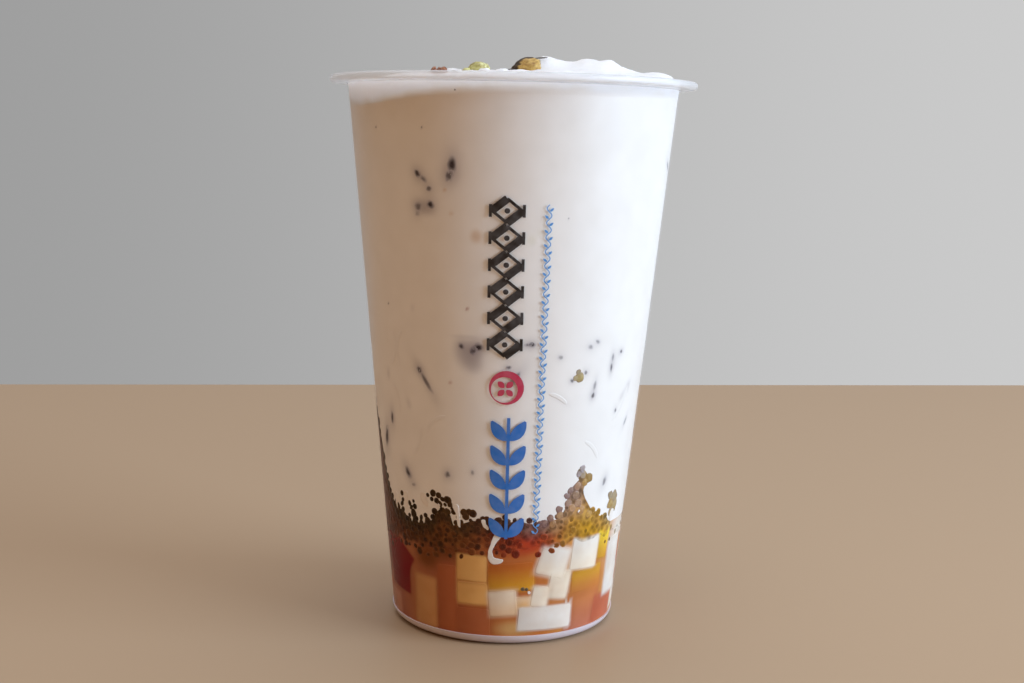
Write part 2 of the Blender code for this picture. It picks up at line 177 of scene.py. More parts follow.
# Jelly blocks at the front: angle, centre height, width, height, turn, flavour (or that of the top and
# that of the foot) and width of the soft edge
FRONT_BLOCKS = [
    (-40, 9.4, 7.4, 13.6, 2, "caramel", 2.2), (-27, 11, 5.6, 19, 0, "rust", 2),
    (-14, 5.4, 9, 8.6, 0, "rust", 2), (4, 18.4, 12, 7.6, -4, "amber golden", 1.4),
    (9, 11.4, 8, 3.6, 0, "peach honey", 1.6), (28, 10.9, 7.6, 4.6, 0, "orange", 1.6),
    (44, 9.4, 12.6, 14.6, -2, "orange coral", 1.8), (62, 6.4, 11, 7.4, 4, "pink", 1.6),
    (54.5, 24.4, 5.6, 8.4, 6, "lemon yellow", 1.2), (45, 15.8, 11, 6.2, -3, "yellow orange", 1.3),
    (-70, 5.4, 9, 6.4, 0, "rose", 2.4), (-67, 18.8, 6.4, 10.6, 0, "ruby", 1),
    (-61, 14.2, 10.6, 8.6, 4, "ruby", 0.9), (-57.4, 18.6, 8.4, 8.4, 34, "ruby", 0.9),
    (-14.2, 13.7, 8.2, 6, -1, "honey", 1.5), (-14.5, 20.4, 7.9, 7.1, 1, "honey", 1.2),
    (0.4, 11.4, 7.2, 7, -5, "cream peach", 1.8), (28, 15.8, 6, 7.8, 8, "cream", 1.5),
    (24.4, 22.2, 8.6, 8.4, 16, "white cream", 2.2), (18.4, 13, 4.6, 5.8, 7, "cream", 1.4),
    (68, 17, 8.6, 15.8, 0, "white", 1.6), (42, 23.2, 9.4, 8.8, 4, "white cream", 1.1),
    (22, 7.1, 14.8, 6.5, 1, "white", 1),
]

# The blocks of the sides and back follow the solid's own draws
CUBE_SEED = 11
FRONT_DRAWS = 18
FRONT_CUBE_TILT = 4
BACK_CUBE_ROWS = [7.4, 14.4, 20.6]
BACK_CUBE_FIRST, BACK_CUBE_LAST, BACK_CUBE_STEP = 77, 286, 16.5
BACK_CUBE_WIDTH = (7.0, 9.2)
BACK_CUBE_TALL = (6.6, 8.8)
BACK_CUBE_SHIFT = 0.8
BACK_CUBE_TURN = 14
BACK_CUBE_TILT = 7
BACK_CUBE_SPACING = (0.9, 1.15)
BACK_CUBE_SHOWN = 0.9
BACK_CUBE_SOFT, BACK_CUBE_SOFTER = 1.0, 0.8
BACK_FLAVOURS = [
    "white cream", "amber golden", "coral", "honey", "cream peach", "orange coral", "rust", "white",
    "yellow orange", "ruby", "caramel honey",
]
FLAVOUR_STEP, FLAVOUR_ROW_STEP = 7, 3
LEFT_FLANK = 250
LEFT_FLAVOURS = ["rust", "rose", "ruby"]
BLOCK_DEPTH = 0.0078
BLOCK_CORNER = 0.0009
BLOCK_PUSH = 0.0005
BLOCK_CLEAR = 0.95
BLOCK_WAVE, BLOCK_WAVE_SIZE = 0.0002, 0.0035
# Painted shadow of each block: a darker, wider and softer copy of it, shifted right and down
BLOCK_SHADE, BLOCK_SHADE_COLOUR = 0.36, (0.62, 0.48, 0.36)
BLOCK_SHADE_SHIFT, BLOCK_SHADE_WIDER, BLOCK_SHADE_SOFTER = (0.35, -0.3), 0.5, 0.9
# Painted light: each block paler towards its right side, where the window light comes from
BLOCK_PAINTED_LIGHT = (0.90, 0.16)

# Colours of the syrup round the cup: angle, then linear colour
SYRUP_ROUND = [
    (-90, (0.3, 0.07, 0.035)), (-62, (0.36, 0.12, 0.065)), (-48, (0.42, 0.15, 0.06)),
    (-25, (0.38, 0.11, 0.045)), (-8, (0.48, 0.15, 0.04)), (6, (0.5, 0.15, 0.035)),
    (20, (0.54, 0.17, 0.035)), (34, (0.6, 0.26, 0.06)), (48, (0.6, 0.25, 0.05)), (70, (0.6, 0.26, 0.1)),
    (110, (0.55, 0.2, 0.05)), (150, (0.42, 0.12, 0.04)), (190, (0.56, 0.24, 0.05)),
    (235, (0.45, 0.13, 0.04)),
]

# Soft fields of colour in the syrup: angle, height, half width, half height, turn, colour
SYRUP_FIELDS = [
    (-26, 24.4, 12, 3.6, 0, (0.21, 0.062, 0.016)), (-38, 21.4, 5, 4, 0, (0.19, 0.058, 0.012)),
    (-78, 20, 6, 8, 0, (0.13, 0.012, 0.008)), (0, 26.4, 5, 2.4, -18, (0.3, 0.045, 0.012)),
    (13, 26.6, 7.4, 2.8, -14, (0.45, 0.055, 0.016)), (-10, 3.6, 9, 1.4, 0, (0.45, 0.13, 0.03)),
    (6, 4.6, 6, 2.6, 0, (0.6, 0.34, 0.12)), (27, 29.8, 8, 1.6, 0, (0.5, 0.25, 0.05)),
    (46, 29.4, 8, 2, 0, (0.58, 0.3, 0.02)), (73, 26, 9, 9, 0, (0.8, 0.73, 0.62)),
    (79, 17, 5, 10, 0, (0.8, 0.73, 0.62)),
]

# The seed layer's colour near its top and deeper down
SEED_BED_ROUND = [
    (-85, (0.06, 0.032, 0.015), (0.15, 0.028, 0.012)),
    (-66, (0.085, 0.048, 0.021), (0.14, 0.036, 0.014)),
    (-45, (0.056, 0.031, 0.009), (0.14, 0.048, 0.01)), (-20, (0.105, 0.05, 0.014), (0.2, 0.066, 0.014)),
    (-8, (0.108, 0.038, 0.012), (0.26, 0.066, 0.016)), (4, (0.15, 0.07, 0.04), (0.34, 0.045, 0.012)),
    (14, (0.24, 0.11, 0.085), (0.46, 0.04, 0.01)), (22, (0.32, 0.17, 0.09), (0.44, 0.09, 0.02)),
    (30, (0.58, 0.3, 0.1), (0.53, 0.25, 0.036)), (40, (0.52, 0.26, 0.045), (0.54, 0.27, 0.016)),
    (56, (0.56, 0.3, 0.05), (0.62, 0.33, 0.016)), (70, (0.6, 0.48, 0.32), (0.7, 0.56, 0.4)),
    (84, (0.4, 0.25, 0.12), (0.45, 0.22, 0.06)), (120, (0.08, 0.04, 0.018), (0.25, 0.07, 0.02)),
    (180, (0.05, 0.028, 0.012), (0.18, 0.05, 0.016)),
    (240, (0.065, 0.032, 0.014), (0.18, 0.045, 0.016)),
]

# How the gel's two colours meet, in mm below its top; how its ends sink in and its foot fades; its dots
BED_TOP_DEPTH, BED_BLEND = 1.8, 4.0
BED_SUNK, BED_SUNK_SHARE, BED_FADE = 0.0009, 0.03, 0.0022
BED_DOT, BED_DOT_TONE = 0.0016, (0.45, 0.42, 0.40)
# Its ragged edges: how far below their lines they lie, and height, size and shift of the noise
BED_TOP_BELOW, BED_TOP_RAGGED = 1.0, [(0.9, 0.0022, 0.0), (0.6, 0.0011, 4.0)]
BED_LOW_BELOW, BED_LOW_RAGGED = 0.0010, [(0.0016, 0.003, 9.0)]
BED_LEAST = 0.0004

# Where the seeds' gel leans to one side as it climbs: heights, and degrees at each
SEED_LEAN_ANGLE, SEED_LEAN_SPREAD = 37.5, 8
SEED_LEAN_HEIGHTS = [33, 35.5, 38, 40, 42, 43.5, 46]
SEED_LEAN = [0, -2.5, -4.5, -5, -2.5, 0, -2]
# Where milk has pushed the seeds' gel back from the wall: angle, spread and depth
SEED_BAYS = [
    (49.5, 2.2, 4.2), (70, 6.5, 12), (-34.6, 1.2, 1.2), (-22.4, 1, 3.4), (-42, 0.5, 1.6),
    (-38.6, 0.5, 1.4), (-46.6, 0.5, 1.5),
]

MILK_COLOUR = (0.90, 0.855, 0.78)
FOAM_COLOUR = (0.97, 0.97, 0.965)
SHADE_COLOUR = (0.24, 0.195, 0.225)
SHRED_COLOUR = (0.030, 0.018, 0.022)
TAN_COLOUR = (0.66, 0.45, 0.27)
OLIVE_COLOUR = (0.72, 0.68, 0.50)

# Soft shades where dark jelly lies under the milk: angle, height, half width, half height, turn,
# strength and flatness
MILK_SHADES = [
    (-25, 116, 5, 5, 0, 0.06, 1), (-31.8, 110.6, 2.4, 1.3, 12, 0.4, 1.4),
    (-17.4, 75.9, 1.9, 2.4, 0, 0.26, 1.7), (-14.6, 75.2, 2.2, 3, 0, 0.3, 1.7),
    (-12.4, 74.6, 1.8, 2.8, 0, 0.26, 1.5), (-13.2, 72.8, 2.2, 1.5, 0, 0.2, 1.2),
    (-15.4, 79.6, 3.4, 0.3, 3, 0.15, 2), (6, 74.6, 3, 3.4, 0, 0.07, 1),
    (47.6, 73.6, 1.3, 2, 0, 0.12, 1), (60.4, 65.5, 0.7, 1.2, 30, 0.3, 1),
    (56.1, 63.4, 0.6, 1.2, 40, 0.24, 1), (21.5, 64.4, 0.5, 2.2, -60, 0.16, 1),
    (-44, 61.2, 0.6, 1.1, -20, 0.18, 1), (-57.3, 67.7, 0.6, 1, 0, 0.2, 1),
    (-38.9, 85.7, 0.5, 0.7, 0, 0.14, 1),
]
SHRED_HALO = (1.25, 1.15, 0.42)

# Other soft spots in the milk: angle, height, half width, half height, strength and colour
MILK_SPOTS = [
    (-11.8, 104.2, 1.15, 1.25, 0.60, TAN_COLOUR),
    (7.6, 103.6, 1.0, 1.1, 0.35, OLIVE_COLOUR),
    (10.6, 105.4, 0.9, 0.8, 0.22, OLIVE_COLOUR),
    (-20.7, 109.4, 0.5, 0.5, 0.35, TAN_COLOUR),
    (-22.9, 115.0, 0.35, 0.4, 0.55, TAN_COLOUR),
    (-15.2, 86.7, 0.28, 0.3, 0.7, (0.38, 0.13, 0.09)),
    (-22.6, 68.0, 0.4, 0.4, 0.45, (0.45, 0.20, 0.16)),
    (1.0, 54.0, 1.2, 1.0, 0.25, TAN_COLOUR),
]

# Dark jelly that touches the wall: angle, height, half width, half length, turn and depth of colour
SHREDS = [
    (-20, 120.9, 1.35, 2.5, 6, 0.95), (-21.1, 118.3, 1.2, 1.7, 20, 0.75),
    (-33.4, 118.6, 0.95, 1.3, -40, 0.9), (-31, 117.3, 0.75, 1.3, -60, 0.6),
    (-29, 115.1, 0.95, 0.85, 0, 0.7), (-28.6, 111.3, 1.15, 1.3, -76, 0.95),
    (-33.8, 110.7, 1.3, 1.2, -70, 0.55), (-34.3, 109, 0.8, 0.9, 0, 0.3),
    (-33.8, 67.6, 0.8, 3.7, -32, 0.7), (-36.9, 70.3, 0.95, 1.2, -32, 0.8),
    (-10.9, 77.3, 1.5, 1.35, 0, 0.97), (-12.9, 76.4, 1.2, 1.1, -60, 0.75),
    (-17.7, 77.3, 1, 0.9, 60, 0.85), (-56.7, 56.3, 0.85, 1.9, 5, 0.85),
    (-63.8, 50.6, 1.3, 3.6, 16, 0.9), (-47.1, 42.9, 1.15, 2.1, -31, 0.9), (-43.9, 40, 0.9, 0.6, 0, 0.4),
    (-24.9, 44.4, 0.95, 1.1, 0, 0.75), (-13.6, 45.6, 0.6, 0.9, 0, 0.5), (9.3, 78.3, 1, 0.85, 0, 0.9),
    (7.9, 78.3, 0.5, 1.1, 80, 0.6), (0.7, 72.6, 0.6, 0.8, 80, 0.7), (3.6, 70.2, 0.85, 2.1, 38, 0.7),
    (46.1, 71.4, 0.55, 1.4, 0, 0.75), (46.4, 74, 0.5, 1.3, 0, 0.45), (37.2, 64.8, 0.7, 1, 9, 0.8),
    (37.7, 67.4, 0.6, 1.7, 9, 0.45), (51.4, 75.2, 0.6, 0.6, 0, 0.8), (20.9, 75, 0.8, 0.75, 0, 0.45),
    (33.9, 77.3, 0.8, 1, -60, 0.45), (37.2, 78.4, 0.6, 0.9, -60, 0.5), (49.9, 41.4, 0.85, 1.6, 19, 0.6),
    (26.6, 69, 0.65, 0.65, 0, 0.7), (32.6, 70.8, 0.6, 0.7, 0, 0.6), (52.2, 59.9, 0.5, 0.7, 0, 0.7),
    (62.1, 56.3, 0.6, 1.6, 30, 0.5),
]
# More for the sides and back: evenly spread angles, then ranges for the rest of each row
SHRED_SEED, BACK_SHREDS = 8, 22
SIDE_FIRST, SIDE_SPAN = 75, 210
BACK_SHRED_RANGES = [(48, 124), (0.6, 1.3), (1.0, 3.2), (-70, 70), (0.6, 0.95)]
# Dark specks in the milk: angle, height and half size
SPECK_DEPTH = 0.9
SPECKS = [
    (-18.5, 138.2, 0.24), (-52.9, 129.3, 0.2), (-30.9, 129.5, 0.2), (-53.1, 85.9, 0.2),
    (20.4, 108.9, 0.16),
]
SHRED_DEPTH, SHRED_UNEVEN = 0.3, (0.22, 0.8)
# How a shred fades out: share of its reach, how much that frays and in what size, and over what share
SHRED_EDGE, SHRED_FRAY, SHRED_FRAY_SIZE, SHRED_BLEND = 0.95, 0.22, 0.55, 0.7

# Noodles pressed against the wall: centre angle and height, half length, bow, turn
NOODLES = [
    (-52.5, 75, 4.6, 1.5, 10), (-46.5, 75, 4.6, -1.5, 8), (39.5, 50.6, 3.2, 0.6, -44),
    (21, 64.6, 2.6, 0.4, -60), (55.5, 61.5, 5, 0.8, 35), (-40, 52, 4.2, 0.9, 22),
    (-30, 57, 3.6, -0.8, 50), (-52, 62, 3.8, 0.9, -16),
]
# The loose ones' rows are drawn from these ranges
NOODLE_SEED, LOOSE_NOODLES = 3, 34
LOOSE_RANGES = [(75, 290), (44, 82), (3, 6), (-1.4, 1.4), (-70, 70)]
NOODLE_RADIUS, NOODLE_POINTS, NOODLE_SIDES = 0.00055, 30, 14
NOODLE_SUNK, NOODLE_DIVE = 0.16, 0.35
NOODLE_NEAR, NOODLE_FAR, NOODLE_FADE = 0.96, (0.86, 0.84, 0.83), 0.0003

# Lumps of seeds above their layer: angle, height, half width, half height
SEED_LUMPS = [
    (-32.2, 38.1, 2.3, 1.2), (-27.2, 36.9, 1.7, 1.1), (-24.4, 35.2, 1.2, 1.6), (-45.3, 34, 1.5, 1.9),
    (-53, 35.2, 0.9, 1.8), (-15.5, 34.6, 1.5, 0.9), (-9, 33.4, 1.3, 0.9),
]

# Swollen seeds and drops of amber jelly that stand alone: angle, height, radius, linear colour
BEADS = [
    # The first row is no bead but a painted highlight: a small white spot
    (12.9, 14.3, 0.45, (1, 0.95, 0.88)), (9.8, 15.3, 0.55, (0.13, 0.1, 0.04)),
    (11.6, 15.2, 0.5, (0.1, 0.07, 0.03)), (30, 69.8, 1.5, (0.42, 0.33, 0.13)),
    (28, 69.6, 0.75, (0.46, 0.38, 0.2)), (29.2, 71.2, 0.7, (0.36, 0.29, 0.17)),
    (35.4, 46, 1, (0.4, 0.35, 0.34)), (33.9, 44.6, 1, (0.38, 0.32, 0.3)),
    (36.2, 44.2, 1, (0.4, 0.31, 0.2)), (39.4, 43.2, 1.5, (0.33, 0.2, 0.045)),
    (37.2, 42.2, 1.15, (0.47, 0.28, 0.075)), (33.6, 41.4, 1.2, (0.4, 0.23, 0.13)),
    (30.2, 40.7, 0.95, (0.3, 0.2, 0.17)), (28.4, 39.3, 0.95, (0.29, 0.19, 0.17)),
    (33.2, 39.2, 1.25, (0.32, 0.2, 0.12)), (29.4, 37.4, 1.05, (0.38, 0.24, 0.17)),
    (34.6, 37, 1.25, (0.42, 0.25, 0.14)), (31.8, 36, 1.2, (0.5, 0.28, 0.13)),
    (25.1, 35.9, 1.15, (0.28, 0.17, 0.14)), (36.6, 35, 1.3, (0.5, 0.27, 0.09)),
    (25.7, 34.3, 1.1, (0.42, 0.24, 0.11)), (21.2, 33.8, 1.05, (0.26, 0.15, 0.12)),
    (22.4, 32.2, 1.15, (0.38, 0.19, 0.07)), (18.4, 32.6, 1, (0.24, 0.13, 0.11)),
    (41.4, 33.6, 1.2, (0.54, 0.3, 0.06)), (56.4, 37, 1.3, (0.36, 0.29, 0.17)),
    (60.4, 36.2, 1.9, (0.38, 0.3, 0.17)), (57.4, 34.6, 1.8, (0.46, 0.31, 0.1)),
    (61.6, 33.8, 1.8, (0.42, 0.31, 0.14)), (58.8, 32.2, 1.5, (0.44, 0.32, 0.15)),
]
# The glint is a painted highlight, up and to the right of each bead's middle
BEAD_RIM_COLOUR, BEAD_GLINT_COLOUR = (0.40, 0.29, 0.26), (0.75, 0.62, 0.40)
BEAD_UNEVEN, GLINT, GLINT_PLACE, GLINT_SPREAD = (0.30, 0.9), 0.18, 0.3, 0.3
BEAD_RIM, BEAD_RIM_START, BEAD_FRAY, BEAD_FRAY_SIZE, BEAD_BLEND = 0.35, 0.62, 0.2, 0.6, 0.3

# Milk that has run down over the seeds and jelly: path of angles and heights, and half width at each
MILK_RUNS = [
    [
        (-0.6, 29.8, 0.7), (-2.6, 29.2, 0.9), (-4.6, 27, 0.55), (-5.6, 24.8, 0.6),
        (-4.4, 23, 1), (-1.4, 22.8, 0.7), (0.2, 23.2, 0.4),
    ],
    [(-9, 33.6, 0.8), (-8, 31.8, 0.45), (-6.4, 31, 0.3)],
    [(-58.6, 36.4, 1), (-58.6, 33.8, 0.5), (-58.2, 32, 0.25)],
    [(-50, 37.6, 1.1), (-50, 34.8, 0.4), (-49.6, 33.4, 0.2)],
    [(-38.6, 38.6, 1.2), (-37.6, 36.2, 0.8), (-35.6, 35.6, 0.7)],
    [(-30.6, 36.1, 0.45), (-29.4, 35.7, 0.5)],
    [(-21.8, 36.8, 1.2), (-20.6, 34.4, 0.5), (-20.2, 32, 0.4), (-19.6, 30.9, 0.2)],
    [(60.4, 33, 0.9), (59.6, 31.4, 1.1), (59.2, 29.6, 0.6)], [(35, 34.9, 0.4), (35.8, 34.7, 0.4)],
    [(97, 37, 1.4), (98, 32, 0.8), (96.4, 28.4, 0.7)],
    [(140, 36, 1.6), (141, 31.5, 0.7), (142.6, 27.6, 1)], [(187, 36, 1.4), (186, 31, 0.7)],
    [(201, 36, 1.2), (203, 30, 0.9), (201.6, 26.4, 0.7)],
    [(246, 36, 1.8), (247.5, 31, 0.8), (246, 27, 0.5)],
]
RUN_STEPS, RUN_SIDES, RUN_LEAST, RUN_SUNK = 10, 16, 0.0002, 0.0001
RUN_WAVE, RUN_WAVE_SIZE = 0.00018, 0.0012

# The seeds at the wall: draws, least space between them, half sizes, and how far they stray
SEED_SEED, SEED_DRAWS = 7, 9000
SEED_SPACING = 0.00135
SEED_HALF = (0.00094, 0.00080, 0.0006)
SEED_RAGGED, SEED_DEEPEST, SEED_PAST_BED, SEED_SUNK = 0.0005, 0.0030, 0.0007, 0.0002
SEED_STRETCH, SEED_SIZES, SEED_TONES, KERNEL_TONES = (0.85, 1.2), (0.75, 1.3), (0.8, 1.15), (0.25, 0.75)
LUMP_TRIES, LUMP_SPACING = 40, 0.8

# How likely a seed is kept: mm below the layer's top down to which seeds lie close, and the shares
# above it, below it, and down among the jelly
SEED_CLOSE, SEED_SHARES = 4.5, (0.95, 0.5, 0.10)
# Where fewer show, for the gel is clear there: angle, spread and share left out
SEED_GAPS = [(42, 15, 0.97), (74, 8, 0.9)]
SEED_PALE_GAP, SEED_PALE_DEPTH, SEED_PALE_SHARES = (13, 9), 2.5, (0.3, 0.9)

# How far each thing at the wall stands in front of the filling's edge
MILK_LIFT = 0.00002
SYRUP_LIFT = 0.00004
BLOCK_LIFT, BLOCK_LIFT_SPAN = 0.00005, 0.00004
NOODLE_LIFT = 0.00005
SHRED_LIFT = 0.00006
BED_LIFT = 0.00010
SEED_LIFT = 0.00011
BEAD_LIFT = 0.00012
RUN_LIFT = 0.00014

# How far the skins reach, and their rows and sectors
MILK_LOW, MILK_HIGH, MILK_GRID = 0.0225, 0.1404, (172, 560)
SYRUP_LOW, SYRUP_OVER, SYRUP_GRID = FLOOR_TOP + 0.00006, 0.0022, (84, 600)
BLOCK_LOWEST = FLOOR_TOP + 0.00008
BED_GRID, BED_ENDS, BED_NOISE_HEIGHT = (72, 640), (SEED_TOP - 0.006, SEED_TOP - 0.003), 0.03
CREAM_SECTORS, FOAM_RINGS, CREAM_RINGS = 460, 22, 100
CREAM_SKIRT, CREAM_SKIRT_IN, CREAM_BELOW_LINE = (0.118, 0.128), 0.0006, 0.0035

# How the foam swells out to the wall, mixes with the milk in mm, and starts to glow above its foot
FOAM_BULGE, FOAM_BULGE_SHARE, FOAM_SUNK = 0.00026, 0.5, 0.0002
FOAM_OVER, FOAM_WAVE, FOAM_WAVE_SIZE, FOAM_BLEND = 0.6, 1.1, 0.004, 3.2
GLOW_START, GLOW_BLEND = 0.0022, 0.0030

# How the colours differ from place to place: by which share, in patches of which size
MILK_UNEVEN, JELLY_UNEVEN, BED_UNEVEN = (0.02, 0.009), (0.06, 0.005), (0.30, 0.0015)

WET_SHINE = 0.05
TOPPING_COLOUR, CRUMBLY = (0.5, 0.4, 0.2), (0.66, 0.56, 0.45)
NOISE_ROUGHNESS = 0.55

# Finishes: colour, roughness and shine, then the mottling's size, range, tone and detail
FINISHES = {
    "milk": (MILK_COLOUR, 0.3, 0.25, 0.006, (0.35, 0.75), (0.955, 0.95, 0.94), 4.0),
    "milk_runs": (MILK_COLOUR, 0.3, 0.25, 0.004, (0.3, 0.8), (0.90, 0.84, 0.77), 3.0),
    "noodle": ((0.83, 0.78, 0.70), 0.3, 0.25, 0.002, (0.3, 0.7), (0.97, 0.96, 0.95), 3.0),
    "dark_jelly": (SHRED_COLOUR, 0.3, WET_SHINE, 0.0012, (0.35, 0.75), (0.8, 0.78, 0.8), 3.0),
    "jelly": (FLAVOURS["amber"], 0.25, WET_SHINE, 0.0042, (0.35, 0.8), (0.93, 0.86, 0.80), 4.0),
    "seed": ((0.05, 0.03, 0.02), 0.3, WET_SHINE, 0.0009, (0.3, 0.75), (0.75, 0.72, 0.70), 3.0),
    "amber_bead": ((0.5, 0.32, 0.1), 0.2, 0.3, 0.0011, (0.4, 0.75), (0.70, 0.60, 0.54), 3.0),
    "cream": (FOAM_COLOUR, 0.5, 0.3, 0.0012, (0.35, 0.7), (0.98, 0.975, 0.97), 4.0),
    "nut": ((0.62, 0.4, 0.17), 0.45, 0.3, 0.0009, (0.35, 0.7), (0.62, 0.52, 0.42), 4.0),
    "pistachio": (TOPPING_COLOUR, 0.5, 0.3, 0.0007, (0.35, 0.75), CRUMBLY, 3.0),
    "candied_fruit": (TOPPING_COLOUR, 0.35, 0.3, 0.0007, (0.35, 0.75), CRUMBLY, 3.0),
    "cream_curds": (TOPPING_COLOUR, 0.5, 0.3, 0.0007, (0.35, 0.75), (0.97, 0.965, 0.96), 3.0),
    "crumbs": (TOPPING_COLOUR, 0.6, 0.3, 0.0007, (0.35, 0.75), CRUMBLY, 3.0),
}
SEED_GEL_FINISH = ((0.15, 0.08, 0.04), 0.3, WET_SHINE)

# The plastic's colour and roughness, and the rim's waves
WALL_FINISH = ((0.93, 0.93, 0.97), 0.2)
RIM_FINISH, RIM_WAVES = ((0.88, 0.91, 1.0), 0.24), (0.004, 0.00006)
BASE_FINISH = ((0.84, 0.75, 0.77), 0.14)

# Share of the light that the plastic stops where it is seen straight on and at a glance, and how
# steeply the one goes over into the other
WALL_CLEARNESS = (0.008, 0.11, 5.0)
BASE_CLEARNESS = (0.85, 1.0, 2.0)
RIM_CLEARNESS = 0.5

# How far light spreads under the rim and the cream, and the cream's finest grain
RIM_SCATTER, CREAM_SCATTER, CREAM_SCATTER_TONE = 0.004, 0.022, (1.0, 0.97, 0.94)
CREAM_GRAIN = (0.0009, 0.0001, 0.4)

# Printed ornament on the wall: where each motif's column runs, in degrees and mm
PRINT_GAP, PRINT_FILM, PRINT_WIDTH = 0.00003, 0.00003, 8.6
BLACK_ANGLE, BLACK_LOW, BLACK_HIGH, BLACK_COUNT = -1.0, 75.0, 113.7, 6
PINK_ANGLE, PINK_HEIGHT, PINK_RADIUS = -0.4, 67.3, 3.7
BLUE_ANGLE, BLUE_LOW, BLUE_HIGH, BLUE_COUNT = 1.2, 28.8, 60.0, 5
VINE_ANGLE, VINE_TURN, VINE_LOW, VINE_HIGH, VINE_PITCH = 14.15, -0.011, 30.0, 112.0, 3.42
LOZENGE_GAP, LOZENGE_DOT = 0.35, 0.66
THICK, THIN = 1.9, 0.7
INKS = {
    "black": (0.020, 0.014, 0.011),
    "pink": (0.55, 0.035, 0.085),
    "blue": (0.030, 0.165, 0.52),
    "fine": (0.085, 0.29, 0.62),
}

# The photograph's view, and the light
EYE = (0.0011, -0.3715, 0.1271)
PITCH, ROLL = 8.17, 1.33
FOCAL_PIXELS, IMAGE_PIXELS = 1407, 1024
SENSOR = 36
TABLE_HALF_WIDTH, TABLE_FRONT, TABLE_BACK, TABLE_THICKNESS = 1.1, -1.4, 0.354, 0.03
TABLE_SKEW = 0.142
TABLE_COLOUR = (0.40, 0.27, 0.16)

# The room's colour, and what it turns to by direction: axis, from, to, colour. Each row goes over
# those above it: a paler right side, a dim warm side before the cup, and a bright ceiling.
ROOM_COLOUR = (0.34, 0.34, 0.34)
ROOM_SIDES = [
    ("X", -0.42, 0.42, (0.60, 0.60, 0.60)),
    ("Y", 0.80, 0.15, (0.101, 0.052, 0.002)),
    ("Z", 0.35, 0.95, (0.84, 0.81, 0.81)),
    ("Z", 0.80, 1.00, (2.3, 2.35, 2.5)),
]

# Lights: name, angle, distance, height, height aimed at, size, power and colour
LIGHTS = [
    ("window", 70, 0.95, 0.34, 0.07, 0.60, 12.3, (0.61, 0.79, 1.04)),
    ("warm_glow", -40, 0.90, 0.04, 0.08, 0.60, 0.8, (1.0, 0.30, 0.05)),
]


def polar(angle, radius, height):
    """Points at angles from the front, in degrees."""
    turn = np.radians(angle)
    x, y, z = np.broadcast_arrays(radius * np.sin(turn), -radius * np.cos(turn), height)
    return np.stack([x, y, z], axis=-1)


def away(angle, centre):
    """Degrees from a centre, the short way round."""
    return (angle - centre + 180) % 360 - 180


def hump(angle, centre, spread):
    """A smooth hump round one angle, 1 at its centre."""
    return np.exp(-0.5 * (away(angle, centre) / spread) ** 2)


def smooth(value):
    """An even step from 0 to 1."""
    value = np.clip(value, 0.0, 1.0)
    return value * value * (3 - 2 * value)


def mixed(first, second, share):
    """Colours between two, for a share or an array of shares."""
    share = np.asarray(share, float)[..., None]
    return np.asarray(first) * (1 - share) + np.asarray(second) * share


def round_colours(angle, rows, column):
    """The colours of a list that runs round the cup, at an array of angles."""
    places = [row[0] for row in rows]
    parts = zip(*[row[column] for row in rows])
    return np.stack([np.interp(angle, places, part, period=360) for part in parts], -1)


def rough(points, size, shift=0.0):
    """Smooth noise of about -1 to 1 at points, in lumps of a size."""
    points = np.asarray(points)
    scaled = points.reshape(-1, 3) / size + shift
    return np.array([noise.noise(Vector(p)) for p in scaled]).reshape(points.shape[:-1])


def layered(points, layers):
    """Noise at points in several layers: height, size and shift of each."""
    return sum(tall * rough(points, size, shift) for tall, size, shift in layers)


def uneven(values, points, amount, size, shift=0.0):
    """Colours or points made larger here and smaller there, by noise at some points."""
    return values * (1 + amount * rough(points, size, shift)[..., None])


def wall_radius(height):
    """The cup's outer radius on the straight part of its wall."""
    slope = (WALL_TOP_RADIUS - WALL_FOOT_RADIUS) / (WALL_TOP - WALL_FOOT)
    return WALL_FOOT_RADIUS + slope * (height - WALL_FOOT)


def inside_radius(height):
    """How far the filling reaches: some way into the wall, as it looks in a real cup."""
    return wall_radius(height) - FILL_DEPTH


def jelly_top(angle):
    """Height of the jelly heap at the wall."""
    return JELLY_TOP + JELLY_LEAN * np.cos(np.radians(angle - JELLY_LEAN_ANGLE))


def syrup_top(angle):
    """Height of the syrup at the wall, which covers the heap."""
    return jelly_top(angle) + SYRUP_OVER


def seed_top(angle):
    """Height of the seed layer at the wall."""
    turn = np.radians(angle)
    waves = sum(tall * np.sin(count * turn + phase) for tall, count, phase in SEED_WAVES)
    climb = sum(height * hump(angle, centre, spread) for centre, spread, height in SEED_CLUMPS)
    return SEED_TOP + (waves + climb) * MM


def foam_line(angle):
    """Where the milk ends and the paler foam starts, at the wall."""
    return FOAM_LINE - FOAM_DIP * hump(angle, FOAM_DIP_ANGLE, FOAM_DIP_SPREAD)


def cream_height(x, y):
    """The cream's surface over a point, as its solid has it."""
    from_middle = min(math.hypot(x, y) / inside_radius(CREAM_EDGE), 1.0)
    height = CREAM_EDGE + CREAM_EDGE_LEAN * x / WALL_TOP_RADIUS
    height += CREAM_DOME * (1 - from_middle**2)
    inward = smooth((1 - from_middle) / CREAM_SHOULDER)
    for heap_x, heap_y, spread, tall in CREAM_HEAPS:
        far = ((x / MM - heap_x) ** 2 + (y / MM - heap_y) ** 2) / (2 * spread**2)
        height += tall * MM * math.exp(-far) * (HEAP_AT_RIM + (1 - HEAP_AT_RIM) * inward)
    lump = noise.noise(Vector((x, y, 0)) / CREAM_LUMP_SIZE)
    return height + CREAM_LUMP * lump * (LUMP_AT_RIM + (1 - LUMP_AT_RIM) * inward)


